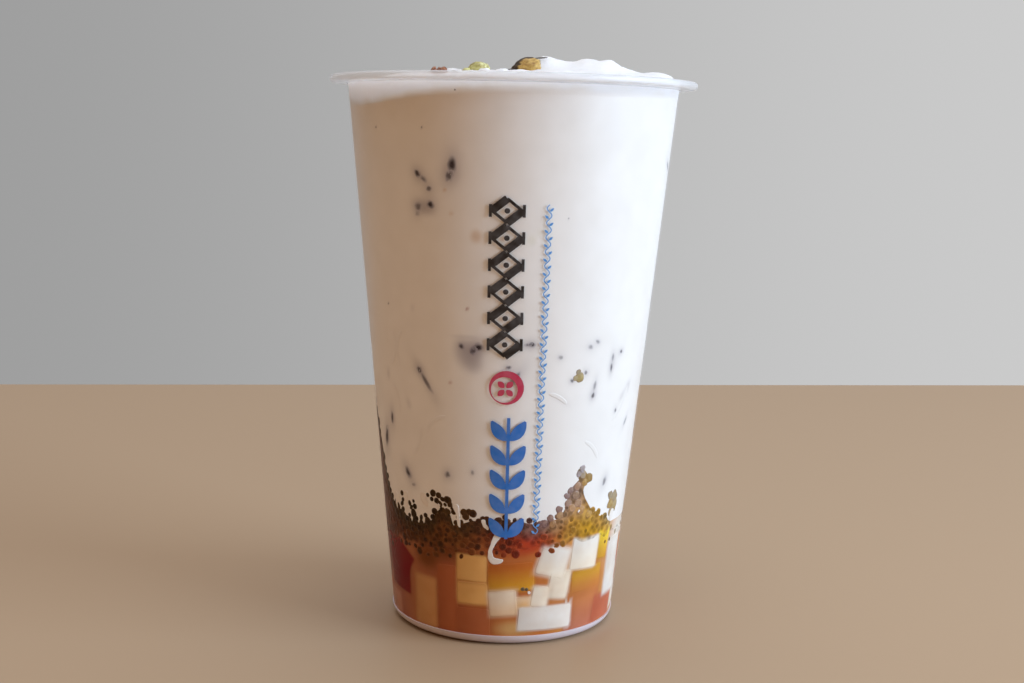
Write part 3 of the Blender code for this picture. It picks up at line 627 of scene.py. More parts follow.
def local(angle, height, centre, middle, turn=0.0):
    """Places on the wall as mm across and up from one place, in a frame with its own turn."""
    across = np.radians(away(angle, centre)) * inside_radius(height) / MM
    up = height / MM - middle
    lean = math.radians(turn)
    return across * math.cos(lean) - up * math.sin(lean), across * math.sin(lean) + up * math.cos(lean)


def blob(place, half_wide, half_tall, flat=1.0):
    """A soft round field, 1 at its middle."""
    return np.exp(-0.5 * ((place[0] / half_wide) ** 2 + (place[1] / half_tall) ** 2) ** flat)


def soft_box(place, wide, tall, soft):
    """1 inside a rectangle and 0 outside, over a soft edge."""
    sides = smooth((wide / 2 - np.abs(place[0])) / soft + 0.5)
    return sides * smooth((tall / 2 - np.abs(place[1])) / soft + 0.5)


def wall_place(points):
    """The angles and heights of points."""
    return np.degrees(np.arctan2(points[..., 0], -points[..., 1])), points[..., 2]


def at_wall(angles, heights, lift):
    """Points at the wall's inside, lifted towards it."""
    return polar(angles, inside_radius(heights) + lift, heights)


def back_blocks():
    """The blocks of the sides and back, by the same draws as in the solid."""
    draw = random.Random(CUBE_SEED)
    for _ in range(FRONT_DRAWS):
        draw.uniform(-FRONT_CUBE_TILT, FRONT_CUBE_TILT)
    rows = []
    for row, row_height in enumerate(BACK_CUBE_ROWS):
        angle = BACK_CUBE_FIRST + BACK_CUBE_STEP / 2 * (row % 2)
        while angle < BACK_CUBE_LAST:
            wide, tall = draw.uniform(*BACK_CUBE_WIDTH), draw.uniform(*BACK_CUBE_TALL)
            turn = draw.uniform(-BACK_CUBE_TURN, BACK_CUBE_TURN)
            tilt = draw.uniform(-BACK_CUBE_TILT, BACK_CUBE_TILT)
            height = row_height + draw.uniform(-BACK_CUBE_SHIFT, BACK_CUBE_SHIFT)
            number = len(rows)
            pick = (number * FLAVOUR_STEP + row * FLAVOUR_ROW_STEP) % len(BACK_FLAVOURS)
            flavour = LEFT_FLAVOURS[row] if angle > LEFT_FLANK else BACK_FLAVOURS[pick]
            shown = (BACK_CUBE_SHOWN * wide, BACK_CUBE_SHOWN * tall)
            soft = BACK_CUBE_SOFT + BACK_CUBE_SOFTER * (number % 3)
            rows.append((angle, height, *shown, turn / 2 + tilt, flavour, soft))
            angle += BACK_CUBE_STEP * draw.uniform(*BACK_CUBE_SPACING)
    return rows


BLOCKS = back_blocks() + FRONT_BLOCKS


def jelly_colour(angle, height):
    """The colour at the wall of the jelly: syrup, and soft blocks, each with a faint painted shadow to
    its lower right and painted light that makes it paler to the right.
    """
    colour = round_colours(angle, SYRUP_ROUND, 1)
    for centre, middle, wide, tall, turn, field in SYRUP_FIELDS:
        place = local(angle, height, centre, middle, turn)
        colour = mixed(colour, field, blob(place, wide / 1.6, tall / 1.6, 1.4))
    # painted shadow: each block darkens the colour under a shifted, wider copy of itself
    across, up = BLOCK_SHADE_SHIFT
    for centre, middle, wide, tall, turn, flavour, soft in BLOCKS:
        u, v = local(angle, height, centre, middle, turn)
        reach = (wide + BLOCK_SHADE_WIDER, tall + BLOCK_SHADE_WIDER, soft + BLOCK_SHADE_SOFTER)
        shade = BLOCK_SHADE * soft_box((u - across, v - up), *reach)
        colour = colour * mixed((1, 1, 1), BLOCK_SHADE_COLOUR, shade)
        upper, lower = (flavour.split() * 2)[:2]
        tone = mixed(FLAVOURS[lower], FLAVOURS[upper], smooth(v / tall + 0.5))
        # painted light: paler towards the block's right side
        tone = tone * (BLOCK_PAINTED_LIGHT[0] + BLOCK_PAINTED_LIGHT[1] * smooth(u / wide + 0.5))[..., None]
        colour = mixed(colour, tone, BLOCK_CLEAR * soft_box((u, v), wide, tall, soft))
    return colour


def all_shreds():
    """The shreds of the front, and more like them drawn for the sides and back."""
    draw = random.Random(SHRED_SEED)
    rows = SHREDS + [(angle, height, size, size, 0, SPECK_DEPTH) for angle, height, size in SPECKS]
    for number in range(BACK_SHREDS):
        angle = SIDE_FIRST + SIDE_SPAN * (number + draw.random()) / BACK_SHREDS
        rows.append((angle, *[draw.uniform(*ends) for ends in BACK_SHRED_RANGES]))
    return rows


ALL_SHREDS = all_shreds()


def milk_colour(angle, height):
    """The milk's colour at the wall, shaded where dark jelly lies close behind its surface."""
    colour = np.broadcast_to(np.array(MILK_COLOUR), (*np.shape(angle), 3))
    wider, taller, strength = SHRED_HALO
    halos = [
        (a, h, w * wider, l * taller, t, strength * deep, 1.0) for a, h, w, l, t, deep in ALL_SHREDS
    ]
    for centre, middle, wide, tall, turn, share, flat in MILK_SHADES + halos:
        place = local(angle, height, centre, middle, turn)
        colour = mixed(colour, SHADE_COLOUR, share * blob(place, wide, tall, flat))
    for centre, middle, wide, tall, share, tone in MILK_SPOTS:
        place = local(angle, height, centre, middle)
        colour = mixed(colour, tone, share * blob(place, wide, tall, 1.6))
    return colour


def bed_colour(angle, height, below):
    """The seed gel's colour, by its depth below the layer's top."""
    share = smooth((below / MM - BED_TOP_DEPTH) / BED_BLEND)
    near, deep = (round_colours(angle, SEED_BED_ROUND, column) for column in (1, 2))
    colour = mixed(near, deep, share)
    # each bead's colour spreads into the gel round it; the first, white one is a painted highlight
    for centre, middle, radius, bead in BEADS:
        place = local(angle, height, centre, middle)
        colour = mixed(colour, bead, blob(place, 1.6 * radius, 1.4 * radius, 1.5))
    return colour


def leaning(angle, height):
    """Angles with the seed layer's own lean, which grows and falls back as the layer climbs."""
    shift = np.interp(height / MM, SEED_LEAN_HEIGHTS, SEED_LEAN)
    return angle + shift * hump(angle, SEED_LEAN_ANGLE, SEED_LEAN_SPREAD)


class Shading:
    """The shader nodes of a material or of the world."""

    def __init__(self, owner):
        owner.use_nodes = True
        self.tree = owner.node_tree

    def node(self, kind, **values):
        """A new node, with values for its properties or its input sockets by name."""
        made = self.tree.nodes.new("ShaderNode" + kind)
        for key, value in values.items():
            if hasattr(made, key):
                setattr(made, key, value)
            else:
                made.inputs[key.replace("_", " ")].default_value = value
        return made

    def link(self, source, target):
        self.tree.links.new(source, target)

    def feed(self, socket, value):
        """Gives a socket a number, a colour or another node's output."""
        if isinstance(value, float):
            socket.default_value = value
        elif isinstance(value, tuple):
            socket.default_value = (*value, 1)
        else:
            self.link(value, socket)

    def ranged(self, value, low, high, to_low=0.0, to_high=1.0, way="LINEAR"):
        """A value brought from low..high to another range."""
        ends = {"From_Min": low, "From_Max": high, "To_Min": to_low, "To_Max": to_high}
        made = self.node("MapRange", interpolation_type=way, **ends)
        self.link(value, made.inputs["Value"])
        return made.outputs["Result"]

    def blend(self, share, first, second, kind="MIX"):
        """A colour between two, each an output or a plain colour."""
        made = self.node("Mix", data_type="RGBA", blend_type=kind)
        for number, value in ((0, share), (6, first), (7, second)):
            self.feed(made.inputs[number], value)
        return made.outputs[2]


class Look(Shading):
    """A material with a Principled shader."""

    def __init__(self, name, colour, roughness, shine=0.5):
        self.material = bpy.data.materials.new(name)
        super().__init__(self.material)
        self.shader = self.tree.nodes["Principled BSDF"]
        self.shader.inputs["Base Color"].default_value = (*colour, 1)
        self.shader.inputs["Roughness"].default_value = roughness
        self.shader.inputs["Specular IOR Level"].default_value = shine

    def noise(self, size, detail=3.0):
        """Noise in lumps of a size in metres, as a value output."""
        place = self.node("TexCoord")
        made = self.node("TexNoise", Scale=1 / size, Detail=detail, Roughness=NOISE_ROUGHNESS)
        self.link(place.outputs["Object"], made.inputs["Vector"])
        return made.outputs["Fac"]

    def colour(self, source):
        self.link(source, self.shader.inputs["Base Color"])

    def tint(self, output="Color"):
        """The mesh's own colours, or their alpha."""
        return self.node("Attribute", attribute_name="tint").outputs[output]

    def mottled(self, size, spread, tone, detail=3.0):
        """The mesh's own colours, multiplied by a tone in patches of a size."""
        tint = self.tint()
        toned = self.blend(1.0, tint, tone, "MULTIPLY")
        self.colour(self.blend(self.ranged(self.noise(size, detail), *spread), tint, toned))

    def bump(self, size, distance, strength=1.0, detail=3.0):
        """Adds relief of a distance in metres, in lumps of a size."""
        made = self.node("Bump", Strength=strength, Distance=distance)
        self.link(self.noise(size, detail), made.inputs["Height"])
        self.link(made.outputs["Normal"], self.shader.inputs["Normal"])

    def scatter(self, weight, scale, tone=(1.0, 1.0, 1.0)):
        """Lets light spread under the surface, by a weight given as a number or an output."""
        self.shader.inputs["Subsurface Radius"].default_value = tone
        self.shader.inputs["Subsurface Scale"].default_value = scale
        self.feed(self.shader.inputs["Subsurface Weight"], weight)

    def glancing(self, low, high, power):
        """A share that grows from low to high where the surface is seen at a glancing angle."""
        facing = self.node("LayerWeight", Blend=0.5)
        steep = self.node("Math", operation="POWER")
        self.link(facing.outputs["Facing"], steep.inputs[0])
        steep.inputs[1].default_value = power
        return self.ranged(steep.outputs[0], 0.0, 1.0, low, high)

    def see_through(self, share):
        """Lets light pass straight through, but for a share given as a number or an output."""
        clear = self.node("BsdfTransparent")
        mix = self.node("MixShader")
        self.feed(mix.inputs[0], share)
        self.link(clear.outputs[0], mix.inputs[1])
        self.link(self.shader.outputs[0], mix.inputs[2])
        self.link(mix.outputs[0], self.tree.nodes["Material Output"].inputs["Surface"])


def finish(name):
    """One of the listed finishes, as a look."""
    colour, roughness, shine, *mottling = FINISHES[name]
    look = Look(name, colour, roughness, shine)
    look.mottled(*mottling)
    return look


def piece(name, points, faces, looks, nodes=(), tint=None, pick=None, flat=False):
    """A mesh piece from arrays of points and of triangles or quads.

    looks is one look or several; pick then gives each face's number among them.
    """
    mesh = bpy.data.meshes.new(name)
    points = np.asarray(points)
    mesh.from_pydata(points.tolist(), [], [face for block in faces for face in block.tolist()])
    if flat:
        mesh.shade_flat()
    else:
        mesh.shade_smooth()
    for look in looks if isinstance(looks, list) else [looks]:
        mesh.materials.append(look.material)
    if pick is not None:
        centres = np.array([face.center[:] for face in mesh.polygons])
        mesh.polygons.foreach_set("material_index", pick(centres).astype(np.int32))
    if tint is not None:
        colours = mesh.color_attributes.new(name="tint", type="FLOAT_COLOR", domain="POINT")
        full = np.ones((len(points), 4))
        full[:, : np.shape(tint)[-1]] = np.clip(tint, 0, 1)
        colours.data.foreach_set("color", full.astype(np.float32).ravel())
    made = bpy.data.objects.new(name, mesh)
    bpy.context.scene.collection.objects.link(made)
    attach(made, BODY)
    if nodes:
        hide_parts(*nodes)
    return made


class Pile:
    """Shapes gathered to become one mesh piece."""

    def __init__(self):
        self.points, self.faces, self.tints = [], [], []
        self.count = 0

    def add(self, points, faces, tint=(1, 1, 1)):
        self.points.append(points)
        self.faces += [block + self.count for block in faces]
        self.tints.append(np.broadcast_to(tint, (len(points), 3)))
        self.count += len(points)

    def piece(self, name, look, slot, tint=None, flat=False):
        if tint is None:
            tint = np.concatenate(self.tints)
        return piece(name, np.concatenate(self.points), self.faces, look, tint=tint, flat=flat)


def shell(grid, low_centre=None, high_centre=None):
    """Points and faces of rings of points, given as rows x sectors x 3.

    A centre closes that end with a fan, which has its own edge.
    """
    rows, sectors = grid.shape[:2]
    ring = np.arange(sectors)
    after = (ring + 1) % sectors
    starts = np.arange(rows - 1)[:, None] * sectors
    upper = starts + sectors
    quads = np.stack([starts + ring, starts + after, upper + after, upper + ring], axis=-1)
    points = [grid.reshape(-1, 3)]
    faces = [quads.reshape(-1, 4)]
    count = rows * sectors
    ends = ((low_centre, grid[0], after, ring), (high_centre, grid[-1], ring, after))
    for centre, edge, first, second in ends:
        if centre is not None:
            points += [edge, [centre]]
            middle = np.full(sectors, count + sectors)
            faces.append(np.stack([middle, count + first, count + second], axis=-1))
            count += sectors + 1
    return np.concatenate(points), faces


def closed_skin(name, grid, low, high, colour, look, slot, node):
    """A piece of rings of points and their colours, closed by a fan at both ends."""
    points, faces = shell(grid, (0, 0, low), (0, 0, high))
    first, last = colour[0], colour[-1]
    tint = [colour.reshape(-1, colour.shape[-1]), first, first[:1], last, last[:1]]
    piece(name, points, faces, look, [node], tint=np.concatenate(tint))


def primitive(make):
    """The points and faces of a shape made by bmesh."""
    cage = bmesh.new()
    make(cage)
    cage.verts.index_update()
    points = np.array([vertex.co[:] for vertex in cage.verts])
    by_size = {}
    for face in cage.faces:
        by_size.setdefault(len(face.verts), []).append([vertex.index for vertex in face.verts])
    cage.free()
    return points, [np.array(rows) for rows in by_size.values()]


def ball(subdivisions):
    return primitive(lambda cage: bmesh.ops.create_icosphere(cage, subdivisions=subdivisions, radius=1))


def divided_cube(cage):
    bmesh.ops.create_cube(cage, size=2)
    bmesh.ops.subdivide_edges(cage, edges=cage.edges[:], cuts=12, use_grid_fill=True)


SMALL_BALL, BALL, FINE_BALL = ball(2), ball(3), ball(4)
CUBE = primitive(divided_cube)


def unit(vectors):
    """Vectors brought to a length of 1."""
    return vectors / np.linalg.norm(vectors, axis=1, keepdims=True)


def rounded_block(half, corner):
    """A block of given half sizes with rounded edges, its faces divided more finely near them."""
    points, faces = CUBE
    half = np.asarray(half)
    points = np.sin(points * math.pi / 2) * half
    core = np.clip(points, corner - half, half - corner)
    return core + corner * unit(points - core), faces


def on_wall(points, angle, height, turn=0.0, lift=0.0, proud=0.0):
    """Bends a shape onto the cup's inside: its X runs round the cup, its Y up and its Z outwards.

    It is first turned in its own plane, clockwise as seen from outside. Nothing stands further out
    than proud above the lift.
    """
    lean = math.radians(turn)
    across = points[:, 0] * math.cos(lean) + points[:, 1] * math.sin(lean)
    heights = height - points[:, 0] * math.sin(lean) + points[:, 1] * math.cos(lean)
    reach = inside_radius(heights)
    radii = reach + lift + np.minimum(points[:, 2], proud)
    return polar(angle + np.degrees(across / reach), radii, heights)


def stroke(path, widths, film, closed=False):
    """A flat thin band along a path in the XY plane, with its own width at each point."""
    path = np.asarray(path, float)
    count = len(path)
    if closed:
        ahead = unit(np.roll(path, -1, axis=0) - np.roll(path, 1, axis=0))
    else:
        ahead = unit(np.gradient(path, axis=0))
    left = ahead[:, ::-1] * (-1, 1) * np.asarray(widths, float)[:, None] / 2
    edges = ((left, 0), (-left, 0), (-left, film), (left, film))
    rings = np.stack([np.column_stack([path + side, np.full(count, up)]) for side, up in edges], axis=1)
    stations = np.arange(count if closed else count - 1)[:, None] * 4
    onward = (stations + 4) % (count * 4)
    corner = np.arange(4)
    after = (corner + 1) % 4
    quads = np.stack([stations + after, stations + corner, onward + corner, onward + after], axis=-1)
    faces = quads.reshape(-1, 4)
    if not closed:
        last = (count - 1) * 4
        faces = np.concatenate([faces, [[0, 1, 2, 3], [last + 3, last + 2, last + 1, last]]])
    return rings.reshape(-1, 3), [faces]


def tube(path, radii, sides):
    """A round tube along a path of points in space that runs mostly in the XY plane."""
    ahead = unit(np.gradient(path, axis=0))
    left = unit(np.stack([-ahead[:, 1], ahead[:, 0], np.zeros(len(path))], axis=1))
    up = np.cross(ahead, left)
    turns = -2 * np.pi * np.arange(sides)[:, None] / sides
    ring = left[:, None] * np.cos(turns) + up[:, None] * np.sin(turns)
    grid = path[:, None] + ring * radii[:, None, None]
    return shell(grid[::-1], path[-1], path[0])


def curved(points, count):
    """Evenly spread points on a smooth curve through a few points."""
    points = np.asarray(points, float)
    first, last = 2 * points[0] - points[1], 2 * points[-1] - points[-2]
    padded = np.vstack([first, points, last])
    made = []
    for share in np.linspace(0, len(points) - 1.000001, count):
        i, t = int(share), share % 1
        a, b, c, d = padded[i : i + 4]
        bend = (2 * a - 5 * b + 4 * c - d) * t**2 + (3 * b - a - 3 * c + d) * t**3
        made.append(0.5 * (2 * b + (c - a) * t + bend))
    return np.array(made)


def arc(centre, radius, first, last, steps):
    """Points of an arc in a profile, from one angle to another."""
    turns = np.radians(np.linspace(first, last, steps + 1))
    return [(centre[0] + radius * math.cos(t), centre[1] + radius * math.sin(t)) for t in turns]


def cup_profile():
    """The cup's closed outline from the middle of its underside round to the middle of its floor."""
    half = RIM_THICKNESS / 2
    foot = WALL_FOOT_RADIUS - WALL_FOOT
    foot_inside = foot - FOOT_WIDTH
    inner_foot = WALL_FOOT_RADIUS - WALL_THICKNESS - INNER_FILLET
    web_end = RIM_RADIUS - RIM_WEB_END
    brim = wall_radius(CUP_HEIGHT)
    outside = np.linspace(WALL_FOOT, WALL_TOP - 2 * EDGE, WALL_ROWS)[1:]
    inside = np.linspace(CUP_HEIGHT - 2 * EDGE, INNER_LOW, WALL_ROWS)
    profile = [(PROFILE_START, FLOOR_UNDERSIDE), (foot_inside - FOOT_DRAFT, FLOOR_UNDERSIDE)]
    profile += [(foot_inside, EDGE), (foot_inside + EDGE, 0), (foot, 0)]
    profile += arc((foot, WALL_FOOT), WALL_FOOT, -80, 0, 8)
    profile += [(wall_radius(height), height) for height in outside]
    profile += arc((wall_radius(WALL_TOP) + RIM_FILLET, WALL_TOP - RIM_FILLET), RIM_FILLET, 175, 95, 4)
    profile += [(web_end, WALL_TOP + half - RIM_WEB / 2)]
    profile += arc((RIM_RADIUS - half, CUP_HEIGHT - half), half, -90, 90, 12)
    profile += [(web_end, CUP_HEIGHT - EDGE), (brim + 2 * EDGE, CUP_HEIGHT - EDGE / 2)]
    profile += [(brim - WALL_THICKNESS + 1.5 * EDGE, CUP_HEIGHT - EDGE / 2)]
    profile += [(wall_radius(height) - WALL_THICKNESS, height) for height in inside]
    profile += arc((inner_foot, FLOOR_TOP + INNER_FILLET), INNER_FILLET, 0, -90, 8)
    profile += [(PROFILE_START, FLOOR_TOP)]
    return np.array(profile)


def cup_looks():
    """The looks of the wall, of the rim, and of the floor and foot."""
    wall = Look("clear_wall", *WALL_FINISH)
    wall.see_through(wall.glancing(*WALL_CLEARNESS))
    rim = Look("milky_rim", *RIM_FINISH)
    rim.bump(*RIM_WAVES, detail=2)
    rim.scatter(1.0, RIM_SCATTER)
    rim.see_through(RIM_CLEARNESS)
    base = Look("clear_base", *BASE_FINISH)
    base.see_through(base.glancing(*BASE_CLEARNESS))
    return [wall, rim, base]


def cup_part(centres):
    """The number of a face's look: 0 for the wall, 1 for the rim, 2 for the floor and foot."""
    radius, height = np.hypot(centres[:, 0], centres[:, 1]), centres[:, 2]
    chosen = np.zeros(len(centres))
    chosen[(height > WALL_TOP - 1.5 * EDGE) & (radius > wall_radius(WALL_TOP) - EDGE)] = 1
    chosen[height > CUP_HEIGHT - 3 * EDGE] = 1
    chosen[(height < BASE_TOP + EDGE / 2) & (radius > inside_radius(BASE_TOP) - EDGE)] = 2
    chosen[height < FLOOR_TOP - EDGE / 2] = 2
    return chosen


def make_cup():
    """The thin clear cup, with its rolled rim, its wall and a foot ring round a raised floor."""
    radii, heights = cup_profile().T
    angles = np.linspace(0, 360, CUP_SECTORS, endpoint=False)[None]
    pile = Pile()
    grid = polar(angles, radii[:, None], heights[:, None])
    pile.add(*shell(grid, (0, 0, FLOOR_UNDERSIDE), (0, 0, FLOOR_TOP)))
    ledge = np.array([wall_radius(BASE_TOP) - 0.2 * EDGE, inside_radius(BASE_TOP) - EDGE / 2])
    pile.add(*shell(polar(angles, ledge[:, None], BASE_TOP)))
    points = np.concatenate(pile.points)
    made = piece("clear_cup", points, pile.faces, cup_looks(), ["cup"], pick=cup_part)
    made.data.set_sharp_from_angle(angle=math.radians(SHARP_EDGE))


def wall_grid(low, high, rows, sectors):
    """Angles and heights of a grid round the wall, between two functions of the angle."""
    angles = np.linspace(0, 360, sectors, endpoint=False)[None]
    heights = low(angles) + (high(angles) - low(angles)) * np.linspace(0, 1, rows)[:, None]
    return np.broadcast_to(angles, heights.shape), heights


def flat_at(height):
    """A function of the angle that always gives one height."""
    return lambda angle: np.full(np.shape(angle), height)


def foamy(angle, height, points):
    """How much the milk has turned to foam, from 0 to 1."""
    above = (height - foam_line(angle)) / MM
    return smooth((above + FOAM_OVER + FOAM_WAVE * rough(points, FOAM_WAVE_SIZE)) / FOAM_BLEND)


def make_milk():
    """The milk as it stands against the wall, up to the foam."""
    angles, heights = wall_grid(flat_at(MILK_LOW), flat_at(MILK_HIGH), *MILK_GRID)
    grid = at_wall(angles, heights, MILK_LIFT)
    colour = uneven(milk_colour(angles, heights), grid, *MILK_UNEVEN)
    colour = mixed(colour, FOAM_COLOUR, foamy(angles, heights, grid))
    closed_skin("milk", grid, MILK_LOW, MILK_HIGH, colour, finish("milk"), "milk", "milkshake")


def make_milk_runs():
    """Milk that has run down in front of the seeds and the jelly."""
    pile = Pile()
    for run in MILK_RUNS:
        angle, height = run[0][0], run[0][1] * MM
        radius = inside_radius(height)
        spots = [(math.radians(a - angle) * radius, h * MM - height, wide * MM) for a, h, wide in run]
        path = curved(spots, RUN_STEPS * len(run))
        count = len(path)
        sunk = np.column_stack([path[:, :2], np.full(count, -RUN_SUNK)])
        ends = np.sqrt(np.clip(1 - (np.linspace(-1, 1, count)) ** 8, 0.02, 1))
        points, faces = tube(sunk, np.maximum(path[:, 2], RUN_LEAST) * ends, RUN_SIDES)
        lumpy = points + RUN_WAVE * rough(points, RUN_WAVE_SIZE, angle)[:, None]
        pile.add(on_wall(lumpy, angle, height, 0, RUN_LIFT), faces, MILK_COLOUR)
    pile.piece("milk_runs", finish("milk_runs"), "milk")


def make_shreds():
    """Pieces of dark jelly that touch the wall, their edges lost in the milk."""
    pile = Pile()
    points, faces = BALL
    reach = np.hypot(points[:, 0], points[:, 1])
    for angle, height, wide, long, turn, deep in ALL_SHREDS:
        shaped = uneven(points * np.array([wide, long, SHRED_DEPTH]) * MM, points, *SHRED_UNEVEN, angle)
        shaped[:, 2] -= SHRED_DEPTH * MM / 4
        placed = on_wall(shaped, angle, height * MM, turn, SHRED_LIFT)
        around = milk_colour(*wall_place(placed))
        fray = SHRED_FRAY * rough(points, SHRED_FRAY_SIZE, height)
        share = deep * smooth((SHRED_EDGE - reach + fray) / SHRED_BLEND)
        pile.add(placed, faces, mixed(around, SHRED_COLOUR, share))
    made = pile.piece("dark_jelly_shreds", finish("dark_jelly"), "jelly")
    outwards = unit(np.concatenate(pile.points) * (1, 1, 0))
    made.data.normals_split_custom_set_from_vertices(outwards.tolist())


def make_noodles():
    """Fine noodles in the milk, some of them pressed against the wall."""
    draw = random.Random(NOODLE_SEED)
    pile = Pile()
    rows = list(NOODLES)
    for _ in range(LOOSE_NOODLES):
        rows.append([draw.uniform(*ends) for ends in LOOSE_RANGES])
    share = np.linspace(-1, 1, NOODLE_POINTS)
    milk = np.array(MILK_COLOUR)
    for angle, height, long, bow, turn in rows:
        deep = -NOODLE_SUNK - NOODLE_DIVE * share**4
        path = np.stack([bow * (1 - share**2), share * long, deep], axis=1)
        points, faces = tube(path * MM, np.full(NOODLE_POINTS, NOODLE_RADIUS), NOODLE_SIDES)
        placed = on_wall(points, angle, height * MM, turn, NOODLE_LIFT)
        depth = smooth(-points[:, 2] / NOODLE_FADE)
        pile.add(placed, faces, mixed(milk * NOODLE_NEAR, milk * NOODLE_FAR, depth))
    pile.piece("noodles", finish("noodle"), "milk")


def make_jelly():
    """The thick syrup and the blocks in it, flat where they press against the wall."""
    look = finish("jelly")
    angles, heights = wall_grid(flat_at(SYRUP_LOW), syrup_top, *SYRUP_GRID)
    grid = at_wall(angles, heights, SYRUP_LIFT)
    colour = uneven(jelly_colour(angles, heights), grid, *JELLY_UNEVEN)
    closed_skin("syrup", grid, SYRUP_LOW, JELLY_TOP, colour, look, "jelly", "jelly_cubes")

    pile = Pile()
    for number, (angle, height, wide, tall, turn, *_rest) in enumerate(BLOCKS):
        points, faces = rounded_block((wide / 2 * MM, tall / 2 * MM, BLOCK_DEPTH / 2), BLOCK_CORNER)
        wavy = points + BLOCK_WAVE * rough(points, BLOCK_WAVE_SIZE, angle + height)[:, None]
        wavy[:, 2] += BLOCK_PUSH - BLOCK_DEPTH / 2
        lift = BLOCK_LIFT + BLOCK_LIFT_SPAN * number / len(BLOCKS)
        placed = on_wall(wavy, angle, height * MM, turn, lift)
        placed[:, 2] = np.maximum(placed[:, 2], BLOCK_LOWEST)
        pile.add(placed, faces)
    points = np.concatenate(pile.points)
    colour = uneven(jelly_colour(*wall_place(points)), points, *JELLY_UNEVEN)
    pile.piece("jelly_blocks", look, "jelly", tint=colour)


def bed_top(angle):
    """The top of the seeds' gel, ragged and a little below that of their layer."""
    edge = polar(angle, WALL_FOOT_RADIUS, BED_NOISE_HEIGHT)
    bays = sum(depth * hump(angle, centre, spread) for centre, spread, depth in SEED_BAYS)
    ragged = layered(edge, BED_TOP_RAGGED) - BED_TOP_BELOW
    return np.maximum(seed_top(angle) + (ragged - bays) * MM, bed_low(angle) + BED_LEAST)


def bed_low(angle):
    """The uneven foot of the seeds' gel."""
    edge = polar(angle, WALL_FOOT_RADIUS, BED_NOISE_HEIGHT)
    return jelly_top(angle) - BED_LOW_BELOW + layered(edge, BED_LOW_RAGGED)


def make_seed_bed():
    """The seeds' gel as it lies against the wall, darker near its top."""
    angles, heights = wall_grid(bed_low, bed_top, *BED_GRID)
    tall = bed_top(angles[0]) - bed_low(angles[0])
    below = bed_top(angles[0]) - heights
    shares = np.linspace(0, 1, BED_GRID[0])[:, None]
    from_end = np.minimum(shares, 1 - shares)
    sunk = BED_SUNK * smooth(1 - from_end / BED_SUNK_SHARE)
    angles = leaning(angles, heights)
    grid = at_wall(angles, heights, BED_LIFT - sunk)
    colour = uneven(bed_colour(angles, heights, below), grid, *BED_UNEVEN)
    colour = mixed(jelly_colour(angles, heights), colour, smooth(shares * tall / BED_FADE))
    look = Look("seed_gel", *SEED_GEL_FINISH)
    dots = look.node("TexVoronoi", feature="F1", Scale=1 / BED_DOT)
    look.link(look.node("TexCoord").outputs["Object"], dots.inputs["Vector"])
    dark = look.blend(1.0, look.tint(), BED_DOT_TONE, "MULTIPLY")
    look.colour(look.blend(look.ranged(dots.outputs["Distance"], 0.2, 0.7), dark, look.tint()))
    closed_skin("seed_gel", grid, *BED_ENDS, colour, look, "basil_seed", "basil_seeds")


def seed_share(angle, height, deep, low):
    """How likely a seed is kept at a place that lies some mm deep in a layer with its own foot."""
    close, loose, sunk = SEED_SHARES
    keep = close if deep < SEED_CLOSE else loose if height > low else sunk
    clear = 1.0
    for centre, spread, share in SEED_GAPS:
        clear -= share * float(hump(angle, centre, spread))
    pale = SEED_PALE_SHARES[deep > SEED_PALE_DEPTH] * float(hump(angle, *SEED_PALE_GAP))
    return keep * clear * (1 - pale)


def wanted_seeds(draw):
    """Places for seeds, many of them too close together, each with the space that it needs."""
    wanted = []
    closer = LUMP_SPACING * SEED_SPACING
    for angle, height, wide, tall in SEED_LUMPS:
        spread = math.degrees(wide * MM / float(inside_radius(height * MM)))
        for _ in range(LUMP_TRIES):
            u, v = draw.uniform(-1, 1), draw.uniform(-1, 1)
            if u * u + v * v < 1:
                wanted.append((angle + u * spread, (height + v * tall) * MM, closer))
    for _ in range(SEED_DRAWS):
        angle, share = draw.uniform(-180, 180), draw.random()
        top = float(seed_top(angle)) + SEED_RAGGED * draw.uniform(-1, 1)
        jelly = float(jelly_top(angle))
        low = jelly - SEED_DEEPEST
        height = low + (top - low) * share
        keep = seed_share(angle, height, (top - height) / MM, jelly)
        inside = height < float(bed_top(np.array([angle]))[0]) + SEED_PAST_BED
        if inside and draw.random() < keep:
            wanted.append((angle, height, SEED_SPACING))
    return wanted


def seed_places():
    """Places of dark seeds at the wall, close together near the top of their layer."""
    taken = {}
    places = []
    for angle, height, spacing in wanted_seeds(random.Random(SEED_SEED)):
        spot = np.array([math.radians(angle) * float(inside_radius(height)), height])
        column, row = (spot // SEED_SPACING).astype(int)
        cells = [(column + i, row + j) for i in (-1, 0, 1) for j in (-1, 0, 1)]
        near = [other for cell in cells for other in taken.get(cell, [])]
        if not any(np.hypot(*(spot - other)) < spacing for other in near):
            taken.setdefault((column, row), []).append(spot)
            places.append((angle, height))
    return places


